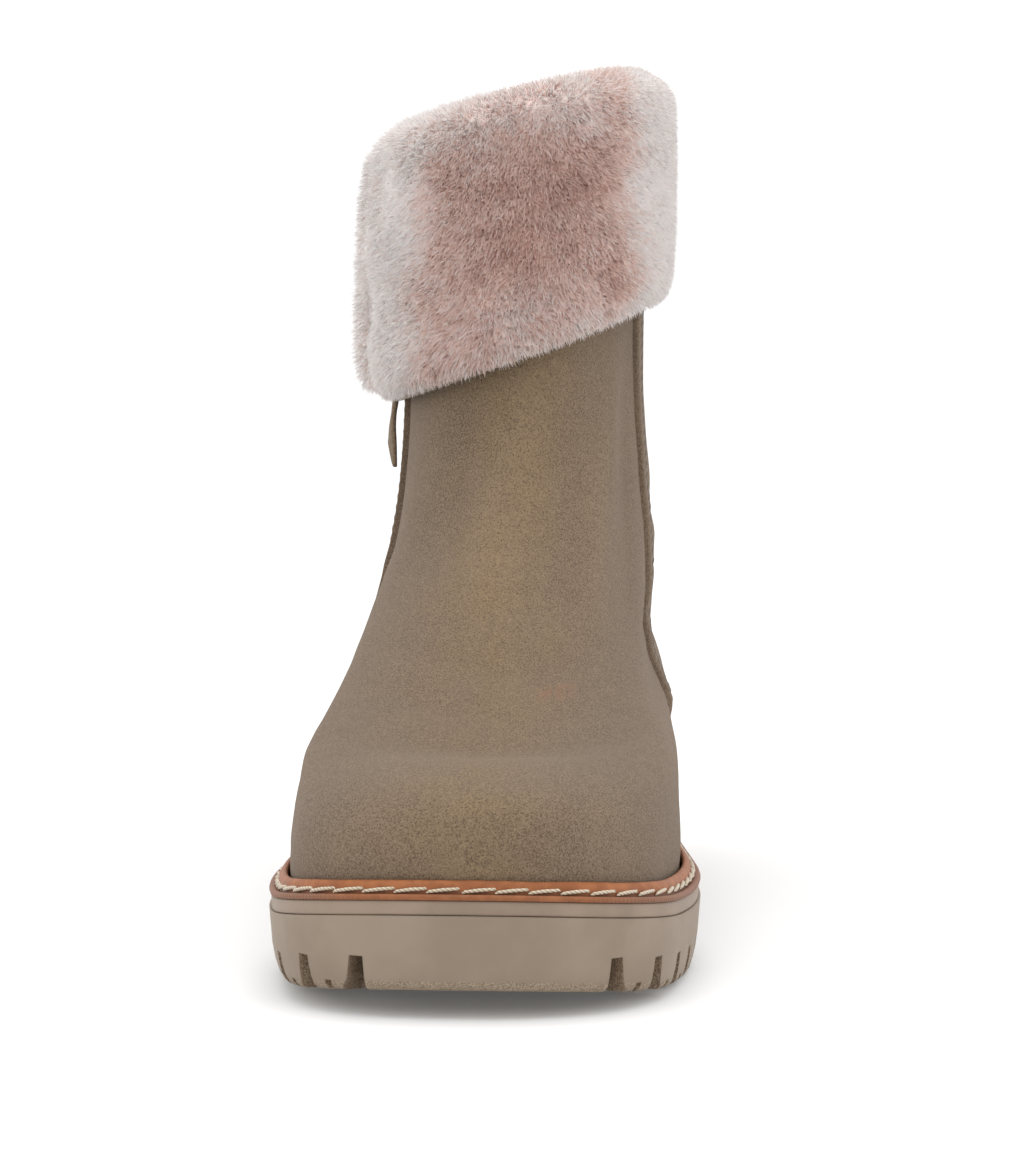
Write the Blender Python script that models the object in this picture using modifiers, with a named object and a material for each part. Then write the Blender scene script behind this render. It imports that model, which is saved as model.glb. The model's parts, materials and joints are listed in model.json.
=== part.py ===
"""Left ankle boot in nubuck with a turned-down fur cuff, a storm welt and a lugged sole.

The boot stands on z = 0 with its toe towards -Y. The inside of the foot, with the zip, is at -X.
Distances along the foot are counted from the tip of the sole and named along. The upper is one
surface of two parameters: u goes round the foot from the front over the outside (+X), and v goes
up through the rows of the SECTIONS table. The quarter, the cuff and the zip lie on that surface.
"""
import math

import bmesh
import bpy
import numpy as np

# Driving sizes of the sole, in metres
SOLE_LENGTH = 0.286
TOE_WIDTH = 0.090
BALL_WIDTH = 0.109
WAIST_WIDTH = 0.081
HEEL_WIDTH = 0.075
TOE_LENGTH = 0.042
HEEL_ROUND = 0.042
SOLE_THICKNESS = 0.022
HEEL_HEIGHT = 0.0385
TOE_SPRING = 0.008
TREAD_START = 0.082
MIDSOLE_THICKNESS = 0.0032
SIDE_TAPER = 0.0018
EDGE_ROUND = 0.003
INSIDE_ROUND = 0.0024
ARCH_HEIGHT = 0.0145
FOREFOOT_END = 0.147
HEEL_BREAST = 0.199

# Tread
TOE_LUG = 0.062
LUG_SHIFT = 0.0065
LUG_PITCH = 0.0165
GROOVE_TOP = 0.0035
GROOVE_FOOT = 0.0052
GROOVE_HEIGHT = 0.0095
TREAD_DEPTH = 0.0045
CHANNEL_WIDTH = 0.0036
RIM_LUG_DEPTH = 0.0150
SIPE_WIDTH = 0.0020
SIPE_HEIGHT = 0.0022
SIPE_DEPTH = 0.0030

# Welt and insole
WELT_THICKNESS = 0.0014
FEATHER = 0.0056
BEAD_WIDTH = 0.0026
BEAD_HEIGHT = 0.0050
BEAD_SEAT = 0.90
WELT_ROUND = 0.0002
INSOLE_THICKNESS = 0.0050

# Upper
WALL = 0.0020
INSTEP_RISE = 0.0620
COLLAR_HEIGHT = 0.2145
COLLAR_DROP = 0.0090
COLLAR_ROLL = 0.0085
SHAFT_WIDTH = 0.0625
QUARTER_PROUD = 0.0012

# Cuff
FUR_DEPTH = 0.0085
CUFF_EDGE_HEIGHT = 0.1510
CUFF_EDGE_TILT = 0.42
CUFF_CROWN = 0.0080
CUFF_LAP = 0.0140
LINING_DEPTH = 0.0050
LOCK_PROUD = 0.0024
LOCK_ROWS = 6
FLAP_FLARE = 0.0070
LEATHER_EDGE = 0.0012
CUFF_SHIFT = 0.25
REAR_FLAP = 6.0
FRONT_FLAP = 3.0
FRONT_THIN = 0.45
REAR_THIN = 0.15
TOP_THIN = 0.30
EDGE_THIN = 0.22

# Zip
ZIP_WIDTH = 0.0100
ZIP_TAPE = 0.0007
CHAIN_WIDTH = 0.0046
CHAIN_PROUD = 0.0018
ZIP_FOOT = 0.0150
ZIP_BEND = 0.0700
SLIDER_HEIGHT = 0.1470
SLIDER_WIDTH = 0.0078
SLIDER_LENGTH = 0.0100
SLIDER_THICKNESS = 0.0028
BRIDGE_WIDTH = 0.0016
BRIDGE_THICKNESS = 0.0009
BRIDGE_REACH = 0.36
BRIDGE_SLOPE = 1.6
RING_WIRE = 0.0011
RING_WIDTH = 0.0056
RING_LENGTH = 0.0070
RING_NARROW = 0.80
PULL_CLEARANCE = 0.0004
STRIP_WIDTH = 0.0080
STRIP_NECK = 0.0036
STRIP_THICKNESS = 0.0016
STRIP_LENGTH = 0.0205
STRIP_SLANT = 0.0035
STRIP_LEAN = 0.0014
STRIP_TWIST = 16.0
STRIP_WRAP = 0.45
STRIP_FLARE = 0.15
STRIP_FLAT = 0.35
STRIP_ROWS = 6
STRIP_LEAN_RATE = 1.6

GAP = 0.0003
OVERLAY_GAP = 0.0005

# Mesh density
AROUND = 48
ZIP_COLUMN = 36

# Stations along the sole where widths are given, as shares of its length
STATIONS = (0.0, 0.295, 0.56, 0.84)
# Where the centre line of the sole lies at each station, as shares of the ball width, + outside
CENTRE_DRIFT = (0.0, 0.001, 0.017, 0.0)
# Bluntness of the toe outline on the inside and the outside: 2 is an ellipse
TOE_BLUNT_INSIDE = 3.0
TOE_BLUNT_OUTSIDE = 2.4
SHAFT_BLUNT = 2.1

# Rows of the upper from the feather line to the collar. front and back are shares of the sole
# length; rise_front and rise_back are heights over the feather line, 0 to 1 over the foot and
# 1 to 2 over the leg; follow is how far the row bends with the sole; own is 0 where the row keeps
# the sole's outline and 1 where it has its own; swell is a share of the feather width; drift moves
# the row to the outside, as a share of the ball's half width; ball and waist are shares of that
# half width too, and heel of the shaft's; nose_front and nose_back are shares of the sole length;
# leg is how far the front of the row takes the shaft's width; roll tips the row.
COLUMNS = ("front", "back", "rise_front", "rise_back", "follow", "own", "swell",
           "drift", "ball", "waist", "heel", "nose_front", "nose_back", "leg", "roll")
SECTIONS = (
    (0.023, 0.979, 0.000, 0.000, 1.00, 0.0, 0.00, 0.000, 0.90, 0.72, 1.00, 0.20, 0.13, 0.0, 0.0),
    (0.019, 0.984, 0.120, 0.100, 0.96, 0.0, 0.08, 0.000, 0.90, 0.73, 1.03, 0.20, 0.13, 0.0, 0.0),
    (0.020, 0.987, 0.250, 0.190, 0.88, 0.4, 0.08, 0.010, 0.89, 0.74, 1.06, 0.20, 0.14, 0.0, 0.0),
    (0.033, 0.989, 0.360, 0.280, 0.75, 0.8, 0.06, 0.010, 0.88, 0.76, 1.09, 0.20, 0.15, 0.0, 0.0),
    (0.062, 0.989, 0.440, 0.370, 0.60, 1.0, 0.00, 0.005, 0.87, 0.77, 1.11, 0.21, 0.16, 0.0, 0.0),
    (0.112, 0.988, 0.500, 0.460, 0.45, 1.0, 0.00, -0.010, 0.86, 0.77, 1.11, 0.22, 0.16, 0.1, 0.0),
    (0.182, 0.984, 0.560, 0.550, 0.28, 1.0, 0.00, -0.030, 0.83, 0.77, 1.11, 0.23, 0.17, 0.2, 0.0),
    (0.259, 0.979, 0.660, 0.640, 0.12, 1.0, 0.00, -0.035, 0.79, 0.76, 1.10, 0.24, 0.18, 0.3, 0.0),
    (0.339, 0.970, 0.810, 0.760, 0.00, 1.0, 0.00, -0.030, 0.76, 0.75, 1.10, 0.24, 0.18, 0.5, 0.0),
    (0.413, 0.960, 1.000, 0.900, 0.00, 1.0, 0.00, -0.005, 0.74, 0.74, 1.10, 0.24, 0.19, 0.7, 0.0),
    (0.474, 0.949, 1.110, 1.030, 0.00, 1.0, 0.00, 0.012, 0.72, 0.73, 1.08, 0.23, 0.19, 0.9, 0.1),
    (0.517, 0.941, 1.260, 1.160, 0.00, 1.0, 0.00, 0.018, 0.70, 0.70, 1.04, 0.21, 0.20, 1.0, 0.2),
    (0.537, 0.938, 1.440, 1.340, 0.00, 1.0, 0.00, 0.015, 0.70, 0.68, 1.00, 0.20, 0.20, 1.0, 0.4),
    (0.543, 0.938, 1.640, 1.560, 0.00, 1.0, 0.00, 0.015, 0.70, 0.68, 1.00, 0.20, 0.20, 1.0, 0.6),
    (0.543, 0.938, 1.820, 1.780, 0.00, 1.0, 0.00, 0.015, 0.70, 0.68, 1.01, 0.20, 0.20, 1.0, 0.8),
    (0.541, 0.940, 2.000, 2.000, 0.00, 1.0, 0.00, 0.015, 0.70, 0.68, 1.02, 0.20, 0.20, 1.0, 1.0),
)
TOP_ROW = len(SECTIONS) - 1
# Places of the zip's two ends along the sole, as shares of its length
ZIP_FOOT_ALONG = 0.690
ZIP_TOP_ALONG = 0.7405
# The quarter ends at this row, under the cuff
QUARTER_TOP_ROW = 13

# Side view of the hollow under the arch, as shares of the forefoot-to-heel gap and of its height
ARCH_PROFILE = ((0.0, 0.0), (0.05, 0.30), (0.16, 0.66), (0.34, 0.92), (0.58, 1.0),
                (0.90, 0.97), (0.98, 0.88), (1.0, 0.70))

# Front edge of the quarter: along the sole at each height, as shares of length and collar height
SEAM_HEIGHTS = (0.0, 0.12, 0.26, 0.40, 0.55, 0.75, 1.05)
SEAM_ALONG = (0.36, 0.46, 0.60, 0.665, 0.690, 0.700, 0.702)

# Section of the cuff over the rim, from just outside it round the lining to the crest. lap and
# crown are shares of those heights, lift and out count gaps, and wall, lining, fur and flare are
# shares of those depths; all heights count from the rim and all depths from its outer face.
RIM_COLUMNS = ("lap", "crown", "lift", "out", "wall", "lining", "fur", "flare")
RIM_SECTION = (
    (0.0, 0.00, 1.5, 1.0, 0.0, 0.00, 0.00, 0.00),
    (0.0, 0.00, 1.5, -1.0, -1.0, 0.00, 0.00, 0.00),
    (-0.5, 0.00, 0.0, -2.0, -1.0, 0.00, 0.00, 0.00),
    (-1.0, 0.00, 0.0, -2.0, -1.0, 0.00, 0.00, 0.00),
    (-1.0, 0.00, 0.0, 0.0, -1.0, -0.80, 0.00, 0.00),
    (-0.5, 0.00, 0.0, 0.0, -1.0, -1.00, 0.00, 0.00),
    (0.0, 0.25, 0.0, 0.0, -1.0, -0.95, 0.00, 0.00),
    (0.0, 0.75, 0.0, 0.0, -1.0, -0.50, 0.00, 0.00),
    (0.0, 1.00, 0.0, 0.5, 0.0, 0.00, 0.12, 0.20),
    (0.0, 0.80, 0.0, 0.0, 0.0, 0.00, 0.66, 0.45),
)
# Steps down one row of locks, as shares of its height and of how far a lock stands out
LOCK_STEPS = ((0.05, 0.0), (0.55, 0.7), (0.92, 1.0))
# Back of the turned-down cuff: shares of its height and of the rear flap's flare
CUFF_BACK = ((0.0, 1.0), (0.35, 1.0), (0.7, 0.8), (0.97, 0.3))
# Loop of the strip: place along it, fullness of the loop, share of the full width
STRIP_LOOP = ((-1.0, 0.55, 0.0), (-0.6, 0.90, 0.0), (0.0, 1.0, 0.0), (0.6, 0.95, 0.0),
              (1.4, 0.60, 0.0), (3.0, 0.0, 0.3))

COLLECTION = "sheepskin_boot"


def clear_scene():
    """Remove every object that the file opened with."""
    for obj in list(bpy.data.objects):
        bpy.data.objects.remove(obj, do_unlink=True)


def make_collection(name):
    """Link a new collection to the scene."""
    group = bpy.data.collections.new(name)
    bpy.context.scene.collection.children.link(group)
    return group


def make_material(name, colour, roughness, metallic=0.0):
    """Principled material with a plain finish."""
    material = bpy.data.materials.new(name)
    material.use_nodes = True
    shader = material.node_tree.nodes["Principled BSDF"]
    shader.inputs["Base Color"].default_value = (*colour, 1.0)
    shader.inputs["Roughness"].default_value = roughness
    shader.inputs["Metallic"].default_value = metallic
    return material


def mesh_object(name, points, faces, material, group):
    """Object from points and faces, with its normals turned outwards and round faces smooth."""
    mesh = bpy.data.meshes.new(name)
    mesh.from_pydata([tuple(p) for p in points], [], faces)
    tidy = bmesh.new()
    tidy.from_mesh(mesh)
    bmesh.ops.remove_doubles(tidy, verts=tidy.verts, dist=1e-6)
    bmesh.ops.recalc_face_normals(tidy, faces=tidy.faces)
    tidy.to_mesh(mesh)
    tidy.free()
    mesh.shade_smooth()
    mesh.set_sharp_from_angle(angle=math.radians(40.0))
    if material is not None:
        mesh.materials.append(material)
    obj = bpy.data.objects.new(name, mesh)
    group.objects.link(obj)
    return obj


def subtract(obj, cutter):
    """Cut one object out of another with an exact Boolean."""
    cut = obj.modifiers.new("cut_" + cutter.name, "BOOLEAN")
    cut.operation = "DIFFERENCE"
    cut.solver = "EXACT"
    cut.object = cutter
    cutter.hide_render = True
    cutter.display_type = "WIRE"


def smooth_through(x, stations, values):
    """Cubic Hermite curve through the stations, with slopes from its neighbours."""
    xs = np.asarray(stations, dtype=float)
    ys = np.asarray(values, dtype=float)
    slopes = np.gradient(ys, xs)
    x = np.clip(x, xs[0], xs[-1])
    k = np.clip(np.searchsorted(xs, x, side="right") - 1, 0, len(xs) - 2)
    step = xs[k + 1] - xs[k]
    t = (x - xs[k]) / step
    near = (1 + 2 * t) * (1 - t) ** 2 * ys[k] + t * (1 - t) ** 2 * step * slopes[k]
    far = t ** 2 * (3 - 2 * t) * ys[k + 1] + t ** 2 * (t - 1) * step * slopes[k + 1]
    return near + far


def ease(x):
    """Smooth step from 0 to 1."""
    x = np.clip(x, 0.0, 1.0)
    return x * x * (3.0 - 2.0 * x)


def through_stations(along, values):
    """Sum of station values times their share at each place along the sole."""
    share = along / SOLE_LENGTH
    total = 0.0
    for index, value in enumerate(values):
        unit = np.zeros(len(STATIONS))
        unit[index] = 1.0
        total = total + value * smooth_through(share, STATIONS, unit)
    return total


def nose(x, blunt):
    """Rounded end of an outline: 0 at its tip, 1 from its length on."""
    return (1.0 - (1.0 - np.clip(x, 0.0, 1.0)) ** blunt) ** (1.0 / blunt)


def sole_bottom(along):
    """Height of the tread: flat, with the toe sprung up in a parabola."""
    return TOE_SPRING * np.clip(1.0 - along / TREAD_START, 0.0, None) ** 2


def welt_seat(along):
    """Height of the midsole's top, which carries the welt: toe spring, ball, rise to the heel."""
    climb = ease((along / SOLE_LENGTH - 0.35) / 0.50)
    return SOLE_THICKNESS + sole_bottom(along) + (HEEL_HEIGHT - SOLE_THICKNESS) * climb


def plan(u, front, back, widths, nose_front, nose_back, blunt_in, blunt_out, drift):
    """Outline seen from above: x and along for each u, inside and outside of the foot."""
    along = front + (back - front) * (1.0 - np.cos(u)) / 2.0
    side = np.sign(np.round(np.sin(u), 9))
    blunt = np.where(side < 0, blunt_in, blunt_out)
    half = through_stations(along, widths)
    half = half * nose((along - front) / nose_front, blunt)
    half = half * nose((back - along) / nose_back, SHAFT_BLUNT)
    centre = through_stations(along, [share * BALL_WIDTH for share in CENTRE_DRIFT])
    return centre * drift + side * half, along


def sole_outline(u, inset=0.0):
    """Edge of the sole, moved inwards by inset along its own normal."""
    def edge(angle):
        widths = (TOE_WIDTH / 2, BALL_WIDTH / 2, WAIST_WIDTH / 2, HEEL_WIDTH / 2)
        return plan(angle, 0.0, SOLE_LENGTH, widths, TOE_LENGTH, HEEL_ROUND,
                    TOE_BLUNT_INSIDE, TOE_BLUNT_OUTSIDE, 1.0)
    step = 0.02
    x, along = edge(u)
    x_next, along_next = edge(u + step)
    x_last, along_last = edge(u - step)
    dx, dy = x_next - x_last, along_next - along_last
    size = np.hypot(dx, dy)
    return x - inset * dy / size, along + inset * dx / size


def column(name, v):
    """Value of a column of the SECTIONS table at row height v."""
    index = COLUMNS.index(name)
    return smooth_through(v, range(len(SECTIONS)), [row[index] for row in SECTIONS])


def rise(level):
    """Height over the feather line: the foot up to level 1, the leg up to level 2."""
    leg = COLLAR_HEIGHT - feather_height(column("front", TOP_ROW) * SOLE_LENGTH) - INSTEP_RISE
    return np.minimum(level, 1.0) * INSTEP_RISE + np.maximum(level - 1.0, 0.0) * leg


def feather_height(along):
    """Height of the upper's lower edge, one gap over the welt."""
    return welt_seat(along) + WELT_THICKNESS + GAP


def upper_surface(u, v):
    """Outer face of the upper as points (x, y, z) for arrays u and v of one shape."""
    u, v = np.broadcast_arrays(np.asarray(u, dtype=float), np.asarray(v, dtype=float))
    front = column("front", v) * SOLE_LENGTH
    back = column("back", v) * SOLE_LENGTH
    leg = column("leg", v)
    follow = column("follow", v)
    ball, shaft = BALL_WIDTH / 2, SHAFT_WIDTH / 2
    toe = TOE_WIDTH / BALL_WIDTH
    widths = [(1 - leg) * ball * share + leg * shaft * column("heel", v)
              for share in (toe * column("ball", v), column("ball", v), column("waist", v))]
    widths.append(shaft * column("heel", v))
    own_x, own_along = plan(
        u, front, back, widths, column("nose_front", v) * SOLE_LENGTH,
        column("nose_back", v) * SOLE_LENGTH,
        SHAFT_BLUNT + follow * (TOE_BLUNT_INSIDE - SHAFT_BLUNT),
        SHAFT_BLUNT + follow * (TOE_BLUNT_OUTSIDE - SHAFT_BLUNT), follow)
    own_x = own_x + ball * column("drift", v)
    low_x, low_along = sole_outline(u, FEATHER * (1.0 - column("swell", v)))
    own = column("own", v)
    x = (1 - own) * low_x + own * own_x
    along = (1 - own) * low_along + own * own_along
    share = (along - front) / (back - front)
    z_front = feather_height(front) + rise(column("rise_front", v))
    heel_rise = rise(column("rise_back", v)) * (COLLAR_HEIGHT - COLLAR_DROP
                                                - feather_height(SOLE_LENGTH)) \
        / (COLLAR_HEIGHT - feather_height(column("front", TOP_ROW) * SOLE_LENGTH))
    z_back = feather_height(back) + heel_rise
    z = z_front + (z_back - z_front) * share
    chord = feather_height(front) + (feather_height(back) - feather_height(front)) * share
    z = z + follow * (feather_height(along) - chord)
    z = z + column("roll", v) * COLLAR_ROLL * x / (SHAFT_WIDTH / 2)
    return np.stack([x, along - SOLE_LENGTH / 2, z], axis=-1)


def surface_normal(u, v):
    """Outward unit normal of the upper's outer face."""
    step_u, step_v = 0.02, 0.05
    across = upper_surface(u + step_u, v) - upper_surface(u - step_u, v)
    up = upper_surface(u, np.minimum(v + step_v, TOP_ROW)) \
        - upper_surface(u, np.maximum(v - step_v, 0.0))
    normal = np.cross(across, up)
    return normal / np.linalg.norm(normal, axis=-1, keepdims=True)


def row_at_height(u, z):
    """Row height v at which the upper's outer face reaches z, for each u."""
    rows = np.linspace(6.0, TOP_ROW, 181)
    heights = upper_surface(np.asarray(u)[:, None], rows[None, :])[..., 2]
    return np.array([np.interp(level, line, rows) for level, line in zip(z, heights)])


def loop_faces(rows, cols, wrap_rows, wrap_cols):
    """Quads of a grid numbered row by row."""
    i, j = np.meshgrid(np.arange(rows if wrap_rows else rows - 1),
                       np.arange(cols if wrap_cols else cols - 1), indexing="ij")
    i_next, j_next = (i + 1) % rows, (j + 1) % cols
    quads = np.stack([i * cols + j, i * cols + j_next,
                      i_next * cols + j_next, i_next * cols + j], axis=-1)
    return quads.reshape(-1, 4).tolist()


def plate(name, rings, material, group):
    """Closed plate from a stack of outline rings, lowest first, with ladders of faces as caps."""
    count = rings.shape[1]
    faces = loop_faces(len(rings), count, False, True)
    for base in (0, (len(rings) - 1) * count):
        for j in range(count // 2):
            rung = [base + j, base + j + 1, base + (count - j - 1) % count,
                    base + (count - j) % count]
            faces.append(list(dict.fromkeys(rung)))
    return mesh_object(name, rings.reshape(-1, 3), faces, material, group)


def outline_ring(u, inset, height):
    """Ring of points on the sole's outline, with height as a function of the place along."""
    x, along = sole_outline(u, inset)
    return np.stack([x, along - SOLE_LENGTH / 2, height(along)], axis=-1)


def around_angles():
    """Columns of every piece that goes round the foot."""
    return np.arange(AROUND) * 2.0 * math.pi / AROUND


def outsole_top(along):
    """Top of the outsole under the midsole band."""
    return welt_seat(along) - 2 * GAP - MIDSOLE_THICKNESS


def make_outsole(material, group, cutters):
    """Lug unit with toe spring, arch, block heel and tread."""
    u = around_angles()
    taper = SIDE_TAPER
    tuck = INSIDE_ROUND * np.clip(-np.sin(u), 0.0, 1.0)

    def middle(along):
        return sole_bottom(along) + 0.5 * (outsole_top(along) - sole_bottom(along))
    rings = np.stack([
        outline_ring(u, taper + tuck + EDGE_ROUND * 0.7, sole_bottom),
        outline_ring(u, taper + tuck * 0.6 + EDGE_ROUND * 0.2,
                     lambda a: sole_bottom(a) + EDGE_ROUND * 0.45),
        outline_ring(u, taper + tuck * 0.25, lambda a: sole_bottom(a) + EDGE_ROUND),
        outline_ring(u, taper * 0.4, middle),
        outline_ring(u, 0.0, outsole_top)])
    sole = plate("outsole", rings, material, group)
    subtract(sole, arch_cutter(cutters))
    subtract(sole, groove_cutters(cutters))
    subtract(sole, channel_cutter("forefoot_channel", 0.0, FOREFOOT_END, cutters))
    subtract(sole, channel_cutter("heel_channel", HEEL_BREAST, SOLE_LENGTH, cutters))
    subtract(sole, cross_cutters(cutters))
    return sole


def arch_cutter(cutters):
    """Prism of the hollow between forefoot and heel, right through from side to side."""
    length = HEEL_BREAST - FOREFOOT_END
    profile = [(FOREFOOT_END + a * length, h * ARCH_HEIGHT) for a, h in ARCH_PROFILE]
    profile.append((HEEL_BREAST, -EDGE_ROUND))
    profile.append((FOREFOOT_END, -EDGE_ROUND))
    points = []
    for x in (-BALL_WIDTH, BALL_WIDTH):
        points += [(x, along - SOLE_LENGTH / 2, z) for along, z in profile]
    n = len(profile)
    faces = [list(range(n)), list(range(n, 2 * n))]
    faces += [[i, (i + 1) % n, n + (i + 1) % n, n + i] for i in range(n)]
    return mesh_object("arch_cutter", points, faces, None, cutters)


def block(corner_rows):
    """Eight corners, four of the lower face and four of the upper one, as a closed box."""
    faces = [[0, 1, 2, 3], [4, 5, 6, 7]]
    faces += [[i, (i + 1) % 4, 4 + (i + 1) % 4, 4 + i] for i in range(4)]
    return list(corner_rows), faces


def join_blocks(name, blocks, cutters):
    """One cutter object from many separate boxes."""
    points, faces = [], []
    for corners, quads in blocks:
        faces += [[index + len(points) for index in quad] for quad in quads]
        points += corners
    return mesh_object(name, points, faces, None, cutters)


def perimeter():
    """Fine walk round the sole from the toe: angle, arc length, point, tangent and inward normal."""
    u = np.linspace(0.0, 2.0 * math.pi, 1441)
    x, along = sole_outline(u, SIDE_TAPER)
    point = np.stack([x, along], axis=-1)
    arc = np.concatenate([[0.0], np.cumsum(np.linalg.norm(np.diff(point, axis=0), axis=1))])
    tangent = np.gradient(point, axis=0)
    tangent = tangent / np.linalg.norm(tangent, axis=1, keepdims=True)
    inward = np.stack([-tangent[:, 1], tangent[:, 0]], axis=-1)
    return arc, point, tangent, inward


def lug_places():
    """Arc lengths of the grooves between the lugs, with the side of the foot: 1 outside."""
    arc, point, _, _ = perimeter()
    half = arc[-1] / 2
    places = []
    for side in (1, -1):
        reach = TOE_LUG / 2 + side * LUG_SHIFT
        while reach < half - LUG_PITCH / 2:
            here = reach if side > 0 else arc[-1] - reach
            along = np.interp(here, arc, point[:, 1])
            in_fore = along < FOREFOOT_END - LUG_PITCH / 2
            in_heel = along > HEEL_BREAST + LUG_PITCH / 2
            if in_fore or in_heel:
                places.append((here, side))
            reach += LUG_PITCH
    return places


def groove_cutters(cutters):
    """Wedges between the rim lugs, one side upright and one leaning, and a sipe in each lug."""
    arc, point, tangent, inward = perimeter()

    def frame_at(here):
        values = [np.array([np.interp(here, arc, table[:, k]) for k in range(2)])
                  for table in (point, tangent, inward)]
        return values

    def corner(base, across, depth, direction, inside, z):
        place = base + direction * across + inside * depth
        return (place[0], place[1] - SOLE_LENGTH / 2, z)
    blocks = []
    for here, side in lug_places():
        base, direction, inside = frame_at(here)
        floor = float(sole_bottom(base[1]))
        lean = direction * side
        low = floor - EDGE_ROUND
        outer, inner = -2 * EDGE_ROUND, RIM_LUG_DEPTH + CHANNEL_WIDTH / 2
        foot = [corner(base, a, d, lean, inside, low)
                for a, d in ((0.0, outer), (GROOVE_FOOT, outer), (GROOVE_FOOT, inner), (0.0, inner))]
        roof = [corner(base, 0.0, outer, lean, inside, floor + GROOVE_HEIGHT),
                corner(base, GROOVE_TOP, outer, lean, inside, floor + GROOVE_HEIGHT),
                corner(base, GROOVE_TOP, inner, lean, inside, floor + TREAD_DEPTH),
                corner(base, 0.0, inner, lean, inside, floor + TREAD_DEPTH)]
        blocks.append(block(foot + roof))
        middle = here + side * (LUG_PITCH + GROOVE_FOOT) / 2
        base, direction, inside = frame_at(middle)
        at_arch = FOREFOOT_END - LUG_PITCH < base[1] < HEEL_BREAST + LUG_PITCH / 2
        at_back = (arc[-1] / 2 - middle) * side < SIPE_WIDTH
        if at_arch or at_back:
            continue
        floor = float(sole_bottom(base[1]))
        half = SIPE_WIDTH / 2
        square = ((-half, outer), (half, outer), (half, SIPE_DEPTH), (-half, SIPE_DEPTH))
        foot = [corner(base, a, d, direction, inside, floor - EDGE_ROUND) for a, d in square]
        roof = [corner(base, a, d, direction, inside, floor + SIPE_HEIGHT) for a, d in square]
        blocks.append(block(foot + roof))
    return join_blocks("groove_cutters", blocks, cutters)


def channel_cutter(name, start, end, cutters):
    """Channel that follows the rim lugs on their inner side between two places along the sole."""
    round_toe = start == 0.0
    u = around_angles() + math.pi / AROUND - (math.pi if round_toe else 0.0)
    _, along = sole_outline(u, RIM_LUG_DEPTH)
    u = u[(along > start - LUG_PITCH) & (along < end + LUG_PITCH)]
    loops = []
    for inset, lift in ((0.0, -EDGE_ROUND), (0.0, TREAD_DEPTH),
                        (CHANNEL_WIDTH, TREAD_DEPTH), (CHANNEL_WIDTH, -EDGE_ROUND)):
        loops.append(outline_ring(u, RIM_LUG_DEPTH + inset, lambda a: sole_bottom(a) + lift))
    grid = np.stack(loops)
    count = grid.shape[1]
    faces = loop_faces(4, count, True, False)
    faces.append([i * count for i in range(4)])
    faces.append([i * count + count - 1 for i in range(4)])
    return mesh_object(name, grid.reshape(-1, 3), faces, None, cutters)


def cross_cutters(cutters):
    """Straight channels across the middle of the tread, from rim channel to rim channel."""
    blocks = []
    first = TOE_LUG / 2 + LUG_PITCH * 0.3
    places = np.concatenate([np.arange(first, FOREFOOT_END - CHANNEL_WIDTH, LUG_PITCH),
                             np.arange(HEEL_BREAST + LUG_PITCH, SOLE_LENGTH - RIM_LUG_DEPTH
                                       - CHANNEL_WIDTH * 2, LUG_PITCH)])
    for along in places:
        floor = float(sole_bottom(along))
        fine = np.linspace(0.05, math.pi - 0.05, 200)
        x, places_along = sole_outline(fine, RIM_LUG_DEPTH + CHANNEL_WIDTH / 2)
        outside = float(np.interp(along, places_along, x))
        x, places_along = sole_outline(-fine, RIM_LUG_DEPTH + CHANNEL_WIDTH / 2)
        inside = float(np.interp(along, places_along, x))
        half = CHANNEL_WIDTH / 2
        square = ((inside, -half), (outside, -half), (outside, half), (inside, half))
        y = along - SOLE_LENGTH / 2
        foot = [(x, y + d, floor - EDGE_ROUND) for x, d in square]
        roof = [(x, y + d, floor + TREAD_DEPTH * 0.98) for x, d in square]
        blocks.append(block(foot + roof))
    return join_blocks("cross_cutters", blocks, cutters)


def make_midsole(material, group):
    """Thin band between the outsole and the welt, over the whole sole."""
    u = around_angles()
    inset = SIDE_TAPER * 0.3

    def top(along):
        return welt_seat(along) - GAP

    def foot(along):
        return top(along) - MIDSOLE_THICKNESS
    rings = np.stack([outline_ring(u, inset, foot), outline_ring(u, inset, top)])
    return plate("midsole", rings, material, group)


def make_insole(material, group):
    """Footbed inside the upper, resting on the midsole."""
    u = around_angles()
    inset = FEATHER + WALL + 4 * GAP

    def top(along):
        return welt_seat(along) + INSOLE_THICKNESS
    rings = np.stack([outline_ring(u, inset, welt_seat), outline_ring(u, inset, top)])
    return plate("insole", rings, material, group)


def make_welt(material, group):
    """Flange on the sole's edge with a raised bead against the upper, swept round the sole."""
    u = around_angles()
    crest = FEATHER * BEAD_SEAT - GAP
    section = (
        (WELT_ROUND, 0.0), (0.0, WELT_THICKNESS / 2), (2 * WELT_ROUND, WELT_THICKNESS),
        (crest - BEAD_WIDTH, WELT_THICKNESS), (crest - BEAD_WIDTH * 0.82, BEAD_HEIGHT * 0.55),
        (crest - BEAD_WIDTH * 0.5, BEAD_HEIGHT * 0.93), (crest - BEAD_WIDTH * 0.2, BEAD_HEIGHT),
        (crest, BEAD_HEIGHT * 0.9), (crest, WELT_THICKNESS),
        (FEATHER + WALL, WELT_THICKNESS), (FEATHER + WALL, 0.0))
    grid = np.stack([outline_ring(u, inset, lambda a: welt_seat(a) + lift)
                     for inset, lift in section])
    faces = loop_faces(len(section), AROUND, True, True)
    return mesh_object("welt", grid.reshape(-1, 3), faces, material, group)


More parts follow.
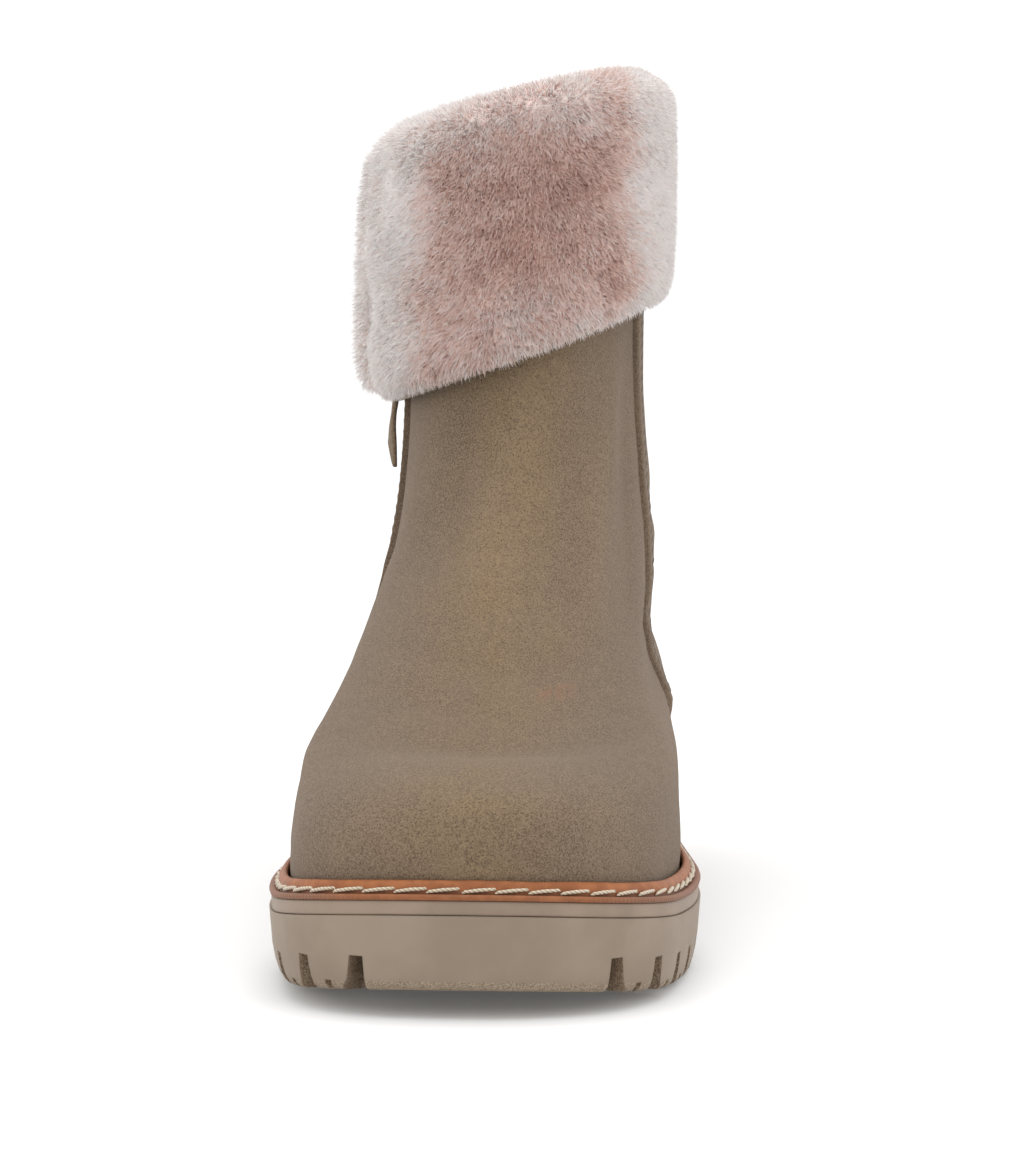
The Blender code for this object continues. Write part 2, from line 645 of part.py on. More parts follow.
def make_upper(material, group):
    """Hollow upper: the open surface of the SECTIONS rows with its wall turned inwards."""
    u = around_angles()
    rows = np.arange(len(SECTIONS), dtype=float)
    grid = upper_surface(u[None, :], rows[:, None])
    faces = loop_faces(len(rows), AROUND, False, True)
    upper = mesh_object("upper", grid.reshape(-1, 3), faces, material, group)
    wall = upper.modifiers.new("wall", "SOLIDIFY")
    wall.thickness = WALL
    wall.offset = -1.0
    wall.use_even_offset = True
    return upper


def patch(name, inner, outer, keep, material, group):
    """Closed shell between two grids over the kept quads, with walls along its edges.

    Grid points that fall together count as one, so a quad may narrow to a triangle.
    """
    flat_inner, flat_outer = inner.reshape(-1, 3), outer.reshape(-1, 3)
    _, first, same = np.unique(np.round(flat_inner, 6), axis=0, return_index=True,
                               return_inverse=True)
    number = same.reshape(inner.shape[:2])
    shift = len(first)
    faces, edges = [], set()
    for i, j in zip(*np.nonzero(keep)):
        quad = [number[i, j], number[i, j + 1], number[i + 1, j + 1], number[i + 1, j]]
        face = list(dict.fromkeys(int(k) for k in quad))
        if len(face) < 3:
            continue
        faces.append([k + shift for k in face])
        faces.append(face[::-1])
        edges.update(zip(face, face[1:] + face[:1]))
    for a, b in sorted(edges):
        if (b, a) not in edges:
            faces.append([a, b, b + shift, a + shift])
    points = np.concatenate([flat_inner[first], flat_outer[first]])
    used = sorted({k for face in faces for k in face})
    place = {old: new for new, old in enumerate(used)}
    faces = [[place[k] for k in face] for face in faces]
    return mesh_object(name, points[used], faces, material, group)


def raised(u, v, proud):
    """Points at a distance from the upper's outer face."""
    return upper_surface(u, v) + surface_normal(u, v) * proud


def seam_along(z):
    """Place along the sole of the quarter's front edge at height z."""
    heights = [share * COLLAR_HEIGHT for share in SEAM_HEIGHTS]
    return smooth_through(z, heights, [share * SOLE_LENGTH for share in SEAM_ALONG])


def crossing(rows, side, line):
    """Angle u at which each row crosses a line along(z) on one side of the foot: 1 outside."""
    fine = np.linspace(0.15, math.pi, 300)
    angles = []
    for v in np.atleast_1d(rows):
        ring = upper_surface(side * fine, v)
        behind = ring[:, 1] + SOLE_LENGTH / 2 - line(ring[:, 2])
        angles.append(float(np.interp(0.0, behind, fine)))
    angles = np.array(angles)
    return angles if side > 0 else 2.0 * math.pi - angles


def zip_along(z):
    """Place along the sole of the zip at height z: upright on the shaft, forward at its foot."""
    share = ease((z - feather_height(ZIP_FOOT_ALONG * SOLE_LENGTH)) / ZIP_BEND)
    return SOLE_LENGTH * (ZIP_FOOT_ALONG + (ZIP_TOP_ALONG - ZIP_FOOT_ALONG) * share)


def zip_angles(rows):
    """Angles u of the zip at each row."""
    return crossing(rows, -1.0, zip_along)


def zip_foot_height():
    """Height of the zip's lower end."""
    return feather_height(ZIP_FOOT_ALONG * SOLE_LENGTH) + ZIP_FOOT


def slot_half_angle(u, v):
    """Angle that spans half of the zip's slot at row v."""
    step = 0.02
    span = np.linalg.norm(upper_surface(u + step, v) - upper_surface(u - step, v), axis=-1)
    return 2 * step * (ZIP_WIDTH / 2 + GAP) / span


def make_quarter(material, group):
    """Overlay round the back of shaft and heel, with a slot for the zip on the inside."""
    rows = np.concatenate([[0.9], np.arange(1.0, QUARTER_TOP_ROW + 0.5)])
    outside = crossing(rows, 1.0, seam_along)
    inside = crossing(rows, -1.0, seam_along)
    zip_u = zip_angles(rows)
    half = slot_half_angle(zip_u, rows)
    base = around_angles()[None, :]
    back = np.clip(base, outside[:, None], (zip_u - half)[:, None])
    front = np.clip(base, (zip_u + half)[:, None], inside[:, None])
    u = np.concatenate([back, zip_u[:, None], front], axis=1)
    v = np.broadcast_to(rows[:, None], u.shape)
    width = np.diff(u, axis=1)
    keep = np.maximum(width[:-1], width[1:]) > 1e-6
    heights = upper_surface(zip_u, rows)[:, 2]
    slot = back.shape[1] - 1
    keep[:, slot:slot + 2] = (heights[1:] < zip_foot_height())[:, None]
    return patch("back_quarter", raised(u, v, OVERLAY_GAP),
                 raised(u, v, OVERLAY_GAP + QUARTER_PROUD),
                 keep, material, group)


def strip_grid(rows, half_widths, proud):
    """Grid on the upper along the zip: a column for each half width, at a distance proud."""
    zip_u = zip_angles(rows)
    unit = slot_half_angle(zip_u, rows) / (ZIP_WIDTH / 2 + GAP)
    u = zip_u[:, None] + unit[:, None] * np.asarray(half_widths)[None, :]
    v = np.broadcast_to(rows[:, None], u.shape)
    return upper_surface(u, v) + surface_normal(u, v) * np.asarray(proud)[None, :, None]


def make_zip(material, group):
    """Closed zip: a tape on the upper with its chain raised along the middle."""
    whole = np.arange(TOP_ROW + 1.0)
    heights = upper_surface(zip_angles(whole), whole)[:, 2]
    v_low = float(np.argmax(heights >= zip_foot_height())) - 1.0
    zip_u = zip_angles(TOP_ROW)
    v_high = float(row_at_height(zip_u, [SLIDER_HEIGHT - SLIDER_LENGTH / 2 - GAP])[0])
    rows = np.concatenate([[v_low + 0.1], np.arange(v_low + 1.0, v_high), [v_high]])
    tape, chain = ZIP_WIDTH / 2 - GAP, CHAIN_WIDTH / 2
    widths = (-tape, -chain - GAP, -chain + GAP, 0.0, chain - GAP, chain + GAP, tape)
    inner = strip_grid(rows, widths, [OVERLAY_GAP] * 7)
    proud = [OVERLAY_GAP + step for step in (ZIP_TAPE, ZIP_TAPE, CHAIN_PROUD, CHAIN_PROUD,
                                            CHAIN_PROUD, ZIP_TAPE, ZIP_TAPE)]
    outer = strip_grid(rows, widths, proud)
    keep = np.ones((len(rows) - 1, len(widths) - 1), dtype=bool)
    return patch("zip_chain", inner, outer, keep, material, group)


def slider_seat():
    """Point on the upper behind the slider, at the side of the shaft."""
    zip_u = zip_angles(TOP_ROW)[0]
    v = row_at_height([zip_u], [SLIDER_HEIGHT])[0]
    return upper_surface(zip_u, v)


def outwards(distance, back=0.0, up=0.0):
    """Point at a distance outwards from the slider's seat, moved towards the heel and up."""
    return slider_seat() + np.array([-distance, back, up])


def slider_face():
    """Distance of the slider's outer face from the upper."""
    return OVERLAY_GAP + GAP + SLIDER_THICKNESS


def hinge_distance():
    """Distance of the pull's hinge axis from the upper."""
    return slider_face() + PULL_CLEARANCE + RING_WIRE / 2


def make_slider(material, group, cutters):
    """Slider body with a bridge over the ring of the pull, in the gap of the cuff."""
    inner = OVERLAY_GAP + GAP
    layers = ((inner, 0.9), (inner + 0.2 * SLIDER_THICKNESS, 1.0),
              (inner + 0.8 * SLIDER_THICKNESS, 1.0), (slider_face(), 0.9))
    outline = ((-0.36, -1.0), (0.36, -1.0), (0.5, 0.2), (0.42, 1.0), (-0.42, 1.0), (-0.5, 0.2))
    points = [outwards(out, a * SLIDER_WIDTH * scale, b * SLIDER_LENGTH / 2 * scale)
              for out, scale in layers for a, b in outline]
    faces = loop_faces(len(layers), len(outline), False, True)
    faces += [list(range(6)), list(range(18, 24))]
    body = mesh_object("zip_slider", points, faces, material, group)
    bridge = make_bridge(cutters)
    join = body.modifiers.new("bridge", "BOOLEAN")
    join.operation = "UNION"
    join.solver = "EXACT"
    join.object = bridge
    bridge.hide_render = True
    bridge.display_type = "WIRE"
    return body


def make_bridge(cutters):
    """Arch along the zip that the ring hangs under, rooted in the slider's face."""
    root = slider_face() - SLIDER_THICKNESS / 2
    under = slider_face() + 2 * PULL_CLEARANCE + RING_WIRE
    over = under + BRIDGE_THICKNESS
    reach, post = SLIDER_LENGTH * BRIDGE_REACH, BRIDGE_THICKNESS
    slope = BRIDGE_SLOPE * post
    profile = ((root, -reach), (under, -reach), (over, -reach + post), (over, reach - post),
               (under, reach), (root, reach), (root, reach - post), (under, reach - slope),
               (under, -reach + slope), (root, -reach + post))
    points = [outwards(out, side * BRIDGE_WIDTH / 2, up)
              for side in (-1, 1) for out, up in profile]
    n = len(profile)
    faces = [list(range(n)), list(range(n, 2 * n))]
    faces += [[i, (i + 1) % n, n + (i + 1) % n, n + i] for i in range(n)]
    return mesh_object("bridge", points, faces, None, cutters)


def make_ring(material, group):
    """Closed wire ring of the pull; its upper bar is the hinge, under the slider's bridge."""
    corner = RING_WIRE
    places = []
    for side, level in ((1, 0.0), (1, -1.0), (-1, -1.0), (-1, 0.0)):
        half = RING_WIDTH / 2 * (RING_NARROW if level == 0.0 else 1.0)
        inward = 1.0 if level < 0.0 else -1.0
        first = (side * half, level * RING_LENGTH + inward * corner)
        second = (side * (half - corner), level * RING_LENGTH)
        places += [first, second] if side * inward > 0 else [second, first]
    curve = bpy.data.curves.new("pull_ring", "CURVE")
    curve.dimensions = "3D"
    curve.bevel_depth = RING_WIRE / 2
    curve.bevel_resolution = 2
    spline = curve.splines.new("POLY")
    spline.points.add(len(places) - 1)
    for point, (back, up) in zip(spline.points, places):
        point.co = (*outwards(hinge_distance(), back, up), 1.0)
    spline.use_cyclic_u = True
    curve.materials.append(material)
    ring = bpy.data.objects.new("pull_ring", curve)
    group.objects.link(ring)
    return ring


def make_strip(material, group, cutters):
    """Leather pull strip looped on the ring's lower bar, twisted and cut at a slant."""
    eye = RING_WIRE / 2 + PULL_CLEARANCE
    loop = eye + STRIP_THICKNESS * STRIP_WRAP
    rings = []
    lower_bar = -RING_LENGTH
    rows = [(lower_bar - loop * place, loop * thick + (1 - thick) * STRIP_THICKNESS / 2,
             STRIP_NECK / 2 + (STRIP_WIDTH - STRIP_NECK) / 2 * wide, 0.0)
            for place, thick, wide in STRIP_LOOP]
    for share in np.linspace(STRIP_FLAT, 1.0, STRIP_ROWS):
        widen = float(ease((share - STRIP_FLARE) / STRIP_FLAT))
        rows.append((lower_bar + loop - STRIP_LENGTH * share, STRIP_THICKNESS / 2,
                     STRIP_NECK / 2 + (STRIP_WIDTH - STRIP_NECK) / 2 * widen, share))
    for up, thick, wide, turn in rows:
        angle = math.radians(STRIP_TWIST) * float(ease(turn))
        along, across = math.cos(angle), math.sin(angle)
        ring = []
        for a, b in ((-1, -1), (1, -1), (1, 1), (-1, 1)):
            slant = STRIP_SLANT * a if turn == 1.0 else 0.0
            back = wide * a * along - thick * b * across
            out = wide * a * across + thick * b * along
            lean = STRIP_LEAN * float(ease(turn * STRIP_LEAN_RATE))
            ring.append(outwards(hinge_distance() + lean + out, back, up + slant))
        rings.append(ring)
    points = np.array(rings)
    count = len(rings)
    faces = loop_faces(count, 4, False, True)
    faces += [[0, 1, 2, 3], [4 * count - 4, 4 * count - 3, 4 * count - 2, 4 * count - 1]]
    strip = mesh_object("pull_strip", points.reshape(-1, 3), faces, material, group)
    subtract(strip, eye_cutter(eye, lower_bar, cutters))
    return strip


def eye_cutter(radius, up, cutters):
    """Cylinder across the strip where the ring's lower bar passes."""
    place = outwards(hinge_distance(), 0.0, up)
    bpy.ops.mesh.primitive_cylinder_add(vertices=12, radius=radius, depth=4 * STRIP_NECK,
                                        location=tuple(place), rotation=(math.pi / 2, 0.0, 0.0))
    cutter = bpy.context.active_object
    cutter.name = "eye_cutter"
    for owner in list(cutter.users_collection):
        owner.objects.unlink(cutter)
    cutters.objects.link(cutter)
    return cutter


def cuff_columns():
    """Angles of the cuff, from the rear flap at the zip round the back and front to the flap."""
    first = ZIP_COLUMN + 1
    return (np.arange(first, first + AROUND - 1) * 2.0 * math.pi / AROUND)


def make_cuff(material, group):
    """Turned-down fur cuff: over the rim, with rows of locks outside, split over the zip."""
    u = cuff_columns()[::-1]
    v_rim = np.full(u.shape, float(TOP_ROW))
    rim = upper_surface(u, v_rim)
    flat = surface_normal(u, v_rim)
    flat[:, 2] = 0.0
    flat = flat / np.linalg.norm(flat, axis=1, keepdims=True)
    count = len(u)
    place = np.arange(count)
    flare = FLAP_FLARE * ease(1.0 - place / REAR_FLAP)
    thin = 1.0 - FRONT_THIN * ease(1.0 - (count - 1 - place) / FRONT_FLAP) \
        - REAR_THIN * ease(1.0 - place)
    depth = FUR_DEPTH * thin * (1.0 - CUFF_SHIFT * rim[:, 0] / (SHAFT_WIDTH / 2))
    low = CUFF_EDGE_HEIGHT + CUFF_EDGE_TILT * rim[:, 0]

    def at(level, out):
        """Points at share level of the height between edge and rim, and at a distance out."""
        z = low + (rim[:, 2] - low) * level
        base = upper_surface(u, row_at_height(u, np.minimum(z, rim[:, 2])))
        base[:, 2] = z
        return base + flat * np.broadcast_to(out, u.shape)[:, None]

    def over(row):
        """Points of one row of RIM_SECTION."""
        value = dict(zip(RIM_COLUMNS, row))
        out = GAP * value["out"] + WALL * value["wall"] + LINING_DEPTH * value["lining"] \
            + depth * value["fur"] + flare * value["flare"]
        lift = CUFF_LAP * value["lap"] + CUFF_CROWN * value["crown"] + GAP * value["lift"]
        return rim + flat * out[:, None] + np.array([0.0, 0.0, lift])
    stand = OVERLAY_GAP + QUARTER_PROUD + 3 * GAP
    loops = [at(level, stand + flare * share) for level, share in CUFF_BACK]
    loops += [over(row) for row in RIM_SECTION]
    for row in range(LOCK_ROWS):
        crest = ((place + row) % 2).astype(float)
        for step, share in LOCK_STEPS:
            level = 1.0 - (row + step) / LOCK_ROWS
            swell = 1.0 - TOP_THIN * max(0.0, level - 0.85) / 0.15 \
                - EDGE_THIN * max(0.0, 0.12 - level) / 0.12
            out = stand + depth * swell + LOCK_PROUD * share * crest + flare * (1.0 - 0.5 * level)
            loops.append(at(level, out))
    edge = stand + LEATHER_EDGE + flare
    loops += [at(0.009, edge + depth * 0.3), at(0.010, edge), at(0.0, edge - LEATHER_EDGE * 0.1)]
    grid = np.stack(loops)
    faces = loop_faces(len(loops), count, True, False)
    faces.append([i * count for i in range(len(loops))])
    faces.append([i * count + count - 1 for i in range(len(loops))])
    return mesh_object("cuff", grid.reshape(-1, 3), faces, material, group)


def main():
    """Build every piece of the boot."""
    clear_scene()
    boot = make_collection(COLLECTION)
    cutters = make_collection("cutters")
    rubber = make_material("sole_rubber", (0.326, 0.253, 0.186), 0.75)
    band = make_material("midsole_band", (0.327, 0.238, 0.170), 0.70)
    cognac = make_material("welt_leather", (0.376, 0.102, 0.038), 0.45)
    nubuck = make_material("nubuck", (0.237, 0.169, 0.115), 0.90)
    footbed = make_material("footbed", (0.55, 0.42, 0.36), 0.95)
    fur = make_material("fur", (0.45, 0.30, 0.26), 1.0)
    tape = make_material("zip_tape", (0.20, 0.15, 0.11), 0.60)
    metal = make_material("zip_metal", (0.30, 0.27, 0.23), 0.35, 1.0)
    make_outsole(rubber, boot, cutters)
    make_midsole(band, boot)
    make_welt(cognac, boot)
    make_insole(footbed, boot)
    make_upper(nubuck, boot)
    make_quarter(nubuck, boot)
    make_cuff(fur, boot)
    make_zip(tape, boot)
    make_slider(metal, boot, cutters)
    make_ring(metal, boot)
    make_strip(nubuck, boot, cutters)


main()
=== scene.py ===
"""Looks of a left sheepskin boot: napped nubuck, a turned-down fur cuff, a stitched storm welt.

Every piece is computed from the boot's own sizes, in metres: x grows to the outside of the foot,
the toe points to -y and z is the height over the floor. Points on the upper are addressed by two
numbers: u is the angle round the foot from the front over the outside, v the row of SECTIONS.
"""
from __future__ import annotations

import json
import logging
import math
from collections.abc import Callable, Sequence
from dataclasses import dataclass, field
from enum import Enum
from functools import reduce

import bmesh
import bpy
import numpy as np
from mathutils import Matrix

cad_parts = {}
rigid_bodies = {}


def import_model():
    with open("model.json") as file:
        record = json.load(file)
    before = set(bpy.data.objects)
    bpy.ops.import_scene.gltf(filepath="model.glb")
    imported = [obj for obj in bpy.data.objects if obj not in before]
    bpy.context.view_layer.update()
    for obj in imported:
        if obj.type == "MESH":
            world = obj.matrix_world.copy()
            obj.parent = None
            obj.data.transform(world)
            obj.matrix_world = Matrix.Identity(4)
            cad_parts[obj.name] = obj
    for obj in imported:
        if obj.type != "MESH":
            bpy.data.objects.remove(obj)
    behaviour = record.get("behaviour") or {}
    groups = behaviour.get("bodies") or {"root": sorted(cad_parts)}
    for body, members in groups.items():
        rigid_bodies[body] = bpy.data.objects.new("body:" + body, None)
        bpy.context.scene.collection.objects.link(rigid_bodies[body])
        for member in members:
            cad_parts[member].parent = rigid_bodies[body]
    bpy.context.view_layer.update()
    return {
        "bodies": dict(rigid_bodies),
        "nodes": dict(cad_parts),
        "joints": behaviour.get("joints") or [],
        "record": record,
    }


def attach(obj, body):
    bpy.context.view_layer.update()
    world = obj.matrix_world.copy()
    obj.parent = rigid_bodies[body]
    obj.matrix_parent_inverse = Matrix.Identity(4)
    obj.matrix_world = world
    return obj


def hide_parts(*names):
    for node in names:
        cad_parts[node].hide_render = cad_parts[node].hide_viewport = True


LOG = logging.getLogger("sheepskin_boot")
TAU = 2.0 * math.pi
UP = np.array([0.0, 0.0, 1.0])
Array = np.ndarray
Colour = tuple[float, float, float]
Piece = bpy.types.Object
Material = bpy.types.Material
Tree, Node, Socket = bpy.types.NodeTree, bpy.types.Node, bpy.types.NodeSocket


class Body(Enum):
    """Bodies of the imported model."""
    BOOT = "boot"
    PULL = "zip_pull"


class Slot(Enum):
    """Material slots of the record."""
    SOLE = "sole_rubber"
    BAND = "midsole_band"
    WELT = "welt_leather"
    FOOTBED = "footbed"
    NUBUCK = "nubuck"
    FUR = "fur"
    TAPE = "zip_tape"
    METAL = "zip_metal"


@dataclass(frozen=True)
class Sizes:
    """Driving sizes of the boot in metres, as in its solids."""
    sole_length: float = 0.286
    toe_width: float = 0.090
    ball_width: float = 0.109
    waist_width: float = 0.081
    heel_width: float = 0.075
    toe_length: float = 0.042
    heel_round: float = 0.042
    sole_thickness: float = 0.022
    heel_height: float = 0.0385
    toe_spring: float = 0.008
    tread_start: float = 0.082
    midsole: float = 0.0032
    side_taper: float = 0.0018
    edge_round: float = 0.003
    inside_round: float = 0.0024
    arch_height: float = 0.0145
    forefoot_end: float = 0.147
    heel_breast: float = 0.199
    toe_lug: float = 0.062
    lug_shift: float = 0.0065
    lug_pitch: float = 0.0165
    groove_top: float = 0.0035
    groove_foot: float = 0.0052
    groove_height: float = 0.0095
    tread_depth: float = 0.0045
    channel_width: float = 0.0036
    rim_lug_depth: float = 0.0150
    sipe_width: float = 0.0020
    sipe_height: float = 0.0022
    sipe_depth: float = 0.0030
    welt: float = 0.0014
    feather: float = 0.0056
    bead_width: float = 0.0026
    bead_height: float = 0.0050
    wall: float = 0.0020
    instep_rise: float = 0.0620
    collar_height: float = 0.2145
    collar_drop: float = 0.0090
    collar_roll: float = 0.0085
    shaft_width: float = 0.0625
    quarter: float = 0.0012
    fur: float = 0.0085
    cuff_edge: float = 0.1510
    cuff_tilt: float = 0.42
    cuff_crown: float = 0.0080
    cuff_lap: float = 0.0140
    lining: float = 0.0050
    flap_flare: float = 0.0070
    leather_edge: float = 0.0012
    cuff_shift: float = 0.25
    zip_width: float = 0.010
    zip_chain: float = 0.0046
    zip_foot: float = 0.015
    zip_bend: float = 0.070
    slider_height: float = 0.147
    slider_length: float = 0.010
    strip_width: float = 0.008
    strip_neck: float = 0.0036
    strip_thickness: float = 0.0016
    strip_length: float = 0.0205
    strip_slant: float = 0.0035
    strip_lean: float = 0.0014
    strip_twist: float = 16.0
    ring_length: float = 0.007
    gap: float = 0.0003
    overlay_gap: float = 0.0005


S = Sizes()
STATIONS = (0.0, 0.295, 0.56, 0.84)
CENTRE_DRIFT = (0.0, 0.001, 0.017, 0.0)
BLUNT_INSIDE, BLUNT_OUTSIDE, BLUNT_SHAFT = 3.0, 2.4, 2.1
COLUMNS = ("front", "back", "rise_front", "rise_back", "follow", "own", "swell",
           "drift", "ball", "waist", "heel", "nose_front", "nose_back", "leg", "roll")
SECTIONS = np.array((
    (0.023, 0.979, 0.000, 0.000, 1.00, 0.0, 0.00, 0.000, 0.90, 0.72, 1.00, 0.20, 0.13, 0.0, 0.0),
    (0.019, 0.984, 0.120, 0.100, 0.96, 0.0, 0.08, 0.000, 0.90, 0.73, 1.03, 0.20, 0.13, 0.0, 0.0),
    (0.020, 0.987, 0.250, 0.190, 0.88, 0.4, 0.08, 0.010, 0.89, 0.74, 1.06, 0.20, 0.14, 0.0, 0.0),
    (0.033, 0.989, 0.360, 0.280, 0.75, 0.8, 0.06, 0.010, 0.88, 0.76, 1.09, 0.20, 0.15, 0.0, 0.0),
    (0.062, 0.989, 0.440, 0.370, 0.60, 1.0, 0.00, 0.005, 0.87, 0.77, 1.11, 0.21, 0.16, 0.0, 0.0),
    (0.112, 0.988, 0.500, 0.460, 0.45, 1.0, 0.00, -0.010, 0.86, 0.77, 1.11, 0.22, 0.16, 0.1, 0.0),
    (0.182, 0.984, 0.560, 0.550, 0.28, 1.0, 0.00, -0.030, 0.83, 0.77, 1.11, 0.23, 0.17, 0.2, 0.0),
    (0.259, 0.979, 0.660, 0.640, 0.12, 1.0, 0.00, -0.035, 0.79, 0.76, 1.10, 0.24, 0.18, 0.3, 0.0),
    (0.339, 0.970, 0.810, 0.760, 0.00, 1.0, 0.00, -0.030, 0.76, 0.75, 1.10, 0.24, 0.18, 0.5, 0.0),
    (0.413, 0.960, 1.000, 0.900, 0.00, 1.0, 0.00, -0.005, 0.74, 0.74, 1.10, 0.24, 0.19, 0.7, 0.0),
    (0.474, 0.949, 1.110, 1.030, 0.00, 1.0, 0.00, 0.012, 0.72, 0.73, 1.08, 0.23, 0.19, 0.9, 0.1),
    (0.517, 0.941, 1.260, 1.160, 0.00, 1.0, 0.00, 0.018, 0.70, 0.70, 1.04, 0.21, 0.20, 1.0, 0.2),
    (0.537, 0.938, 1.440, 1.340, 0.00, 1.0, 0.00, 0.015, 0.70, 0.68, 1.00, 0.20, 0.20, 1.0, 0.4),
    (0.543, 0.938, 1.640, 1.560, 0.00, 1.0, 0.00, 0.015, 0.70, 0.68, 1.00, 0.20, 0.20, 1.0, 0.6),
    (0.543, 0.938, 1.820, 1.780, 0.00, 1.0, 0.00, 0.015, 0.70, 0.68, 1.01, 0.20, 0.20, 1.0, 0.8),
    (0.541, 0.940, 2.000, 2.000, 0.00, 1.0, 0.00, 0.015, 0.70, 0.68, 1.02, 0.20, 0.20, 1.0, 1.0),
))
TOP_ROW = float(len(SECTIONS) - 1)
ZIP_FOOT_ALONG, ZIP_TOP_ALONG = 0.690, 0.7405
SEAM_HEIGHTS = (0.0, 0.12, 0.26, 0.40, 0.55, 0.75, 1.05)
SEAM_ALONG = (0.36, 0.46, 0.60, 0.665, 0.690, 0.700, 0.702)
SEAM_ROWS, ZIP_ROWS = (0.0022, 0.0046), (0.0020,)
ARCH_PROFILE = ((0.0, 0.0), (0.05, 0.30), (0.16, 0.66), (0.34, 0.92), (0.58, 1.0),
                (0.90, 0.97), (0.98, 0.88), (1.0, 0.70))


# Curves


def ease(x: Array | float) -> Array:
    """Smooth step from 0 to 1."""
    x = np.clip(x, 0.0, 1.0)
    return x * x * (3.0 - 2.0 * x)


def smooth_through(x: Array | float, stations: Sequence[float], values: Array) -> Array:
    """Cubic Hermite curve through stations.

    Args:
        x: places where the curve is wanted.
        stations: increasing places of the known values.
        values: one value for each station; further axes are carried along.

    Returns:
        Values at x, with slopes taken from the neighbouring stations.
    """
    xs, ys = np.asarray(stations, dtype=float), np.asarray(values, dtype=float)
    slopes = np.gradient(ys, xs, axis=0)
    x = np.clip(x, xs[0], xs[-1])
    k = np.clip(np.searchsorted(xs, x, side="right") - 1, 0, len(xs) - 2)
    step = xs[k + 1] - xs[k]
    t = (x - xs[k]) / step
    extra = (1,) * (ys.ndim - 1)
    t, step = np.reshape(t, np.shape(t) + extra), np.reshape(step, np.shape(step) + extra)
    near = (1 + 2 * t) * (1 - t) ** 2 * ys[k] + t * (1 - t) ** 2 * step * slopes[k]
    far = t ** 2 * (3 - 2 * t) * ys[k + 1] + t ** 2 * (t - 1) * step * slopes[k + 1]
    return near + far


def unit(vectors: Array) -> Array:
    """Vectors scaled to length one."""
    return vectors / np.maximum(np.linalg.norm(vectors, axis=-1, keepdims=True), 1e-12)


def arc_length(points: Array) -> Array:
    """Distance along a line of points from its first one."""
    return np.concatenate([[0.0], np.cumsum(np.linalg.norm(np.diff(points, axis=0), axis=1))])


def value_noise(x: Array, y: Array, seed: int) -> Array:
    """Smooth random field from -1 to 1 with features about one unit wide.

    Args:
        x: first coordinate in units of the feature size.
        y: second coordinate.
        seed: number of the field.

    Returns:
        Lattice values, drawn once for 64 by 64 cells, eased between the cell's corners.
    """
    lattice = np.random.default_rng(seed).uniform(-1.0, 1.0, (64, 64))
    column, row = np.floor(x).astype(int), np.floor(y).astype(int)
    fx, fy = ease(x - column), ease(y - row)
    a, b = lattice[row % 64, column % 64], lattice[row % 64, (column + 1) % 64]
    c, d = lattice[(row + 1) % 64, column % 64], lattice[(row + 1) % 64, (column + 1) % 64]
    return (a * (1 - fx) + b * fx) * (1 - fy) + (c * (1 - fx) + d * fx) * fy


# Shape of the last


def through_stations(along: Array, values: Sequence[Array | float]) -> Array:
    """Width at each place along the sole from the widths at the four stations."""
    share = along / S.sole_length
    shares = smooth_through(share, STATIONS, np.eye(len(STATIONS)))
    return sum(value * shares[..., index] for index, value in enumerate(values))


def nose(x: Array, blunt: Array | float) -> Array:
    """Rounded end of an outline: 0 at its tip, 1 from its length on."""
    return (1.0 - (1.0 - np.clip(x, 0.0, 1.0)) ** blunt) ** (1.0 / blunt)


def sole_bottom(along: Array | float) -> Array:
    """Height of the tread: flat, with the toe sprung up in a parabola."""
    return S.toe_spring * np.clip(1.0 - along / S.tread_start, 0.0, None) ** 2


def welt_seat(along: Array | float) -> Array:
    """Height under the welt: toe spring, ball and the climb to the heel."""
    climb = ease((along / S.sole_length - 0.35) / 0.50)
    return S.sole_thickness + sole_bottom(along) + (S.heel_height - S.sole_thickness) * climb


def feather_height(along: Array | float) -> Array:
    """Height of the upper's lower edge."""
    return welt_seat(along) + S.welt + S.gap


def plan(u: Array, front: Array | float, back: Array | float, widths: Sequence[Array | float],
         nose_front: Array | float, nose_back: Array | float, blunt_in: Array | float,
         blunt_out: Array | float, drift: Array | float) -> tuple[Array, Array]:
    """Outline seen from above: x and the distance along the foot for each u."""
    along = front + (back - front) * (1.0 - np.cos(u)) / 2.0
    side = np.sign(np.round(np.sin(u), 9))
    blunt = np.where(side < 0, blunt_in, blunt_out)
    half = through_stations(along, widths)
    half = half * nose((along - front) / nose_front, blunt)
    half = half * nose((back - along) / nose_back, BLUNT_SHAFT)
    centre = through_stations(along, [share * S.ball_width for share in CENTRE_DRIFT])
    return centre * drift + side * half, along


def sole_outline(u: Array, inset: Array | float = 0.0) -> tuple[Array, Array]:
    """Edge of the sole, moved inwards by inset along its own normal."""
    def edge(angle: Array) -> tuple[Array, Array]:
        """Edge of the sole without an inset."""
        widths = (S.toe_width / 2, S.ball_width / 2, S.waist_width / 2, S.heel_width / 2)
        return plan(angle, 0.0, S.sole_length, widths, S.toe_length, S.heel_round,
                    BLUNT_INSIDE, BLUNT_OUTSIDE, 1.0)
    x, along = edge(u)
    x_next, along_next = edge(u + 0.02)
    x_last, along_last = edge(u - 0.02)
    dx, dy = x_next - x_last, along_next - along_last
    size = np.hypot(dx, dy)
    return x - inset * dy / size, along + inset * dx / size


def sole_ring(u: Array, inset: Array | float, height: Callable[[Array], Array]) -> Array:
    """Points round the sole at an inset, at a height that depends on the place along it."""
    x, along = sole_outline(u, inset)
    return np.stack([x, along - S.sole_length / 2, height(along)], axis=-1)


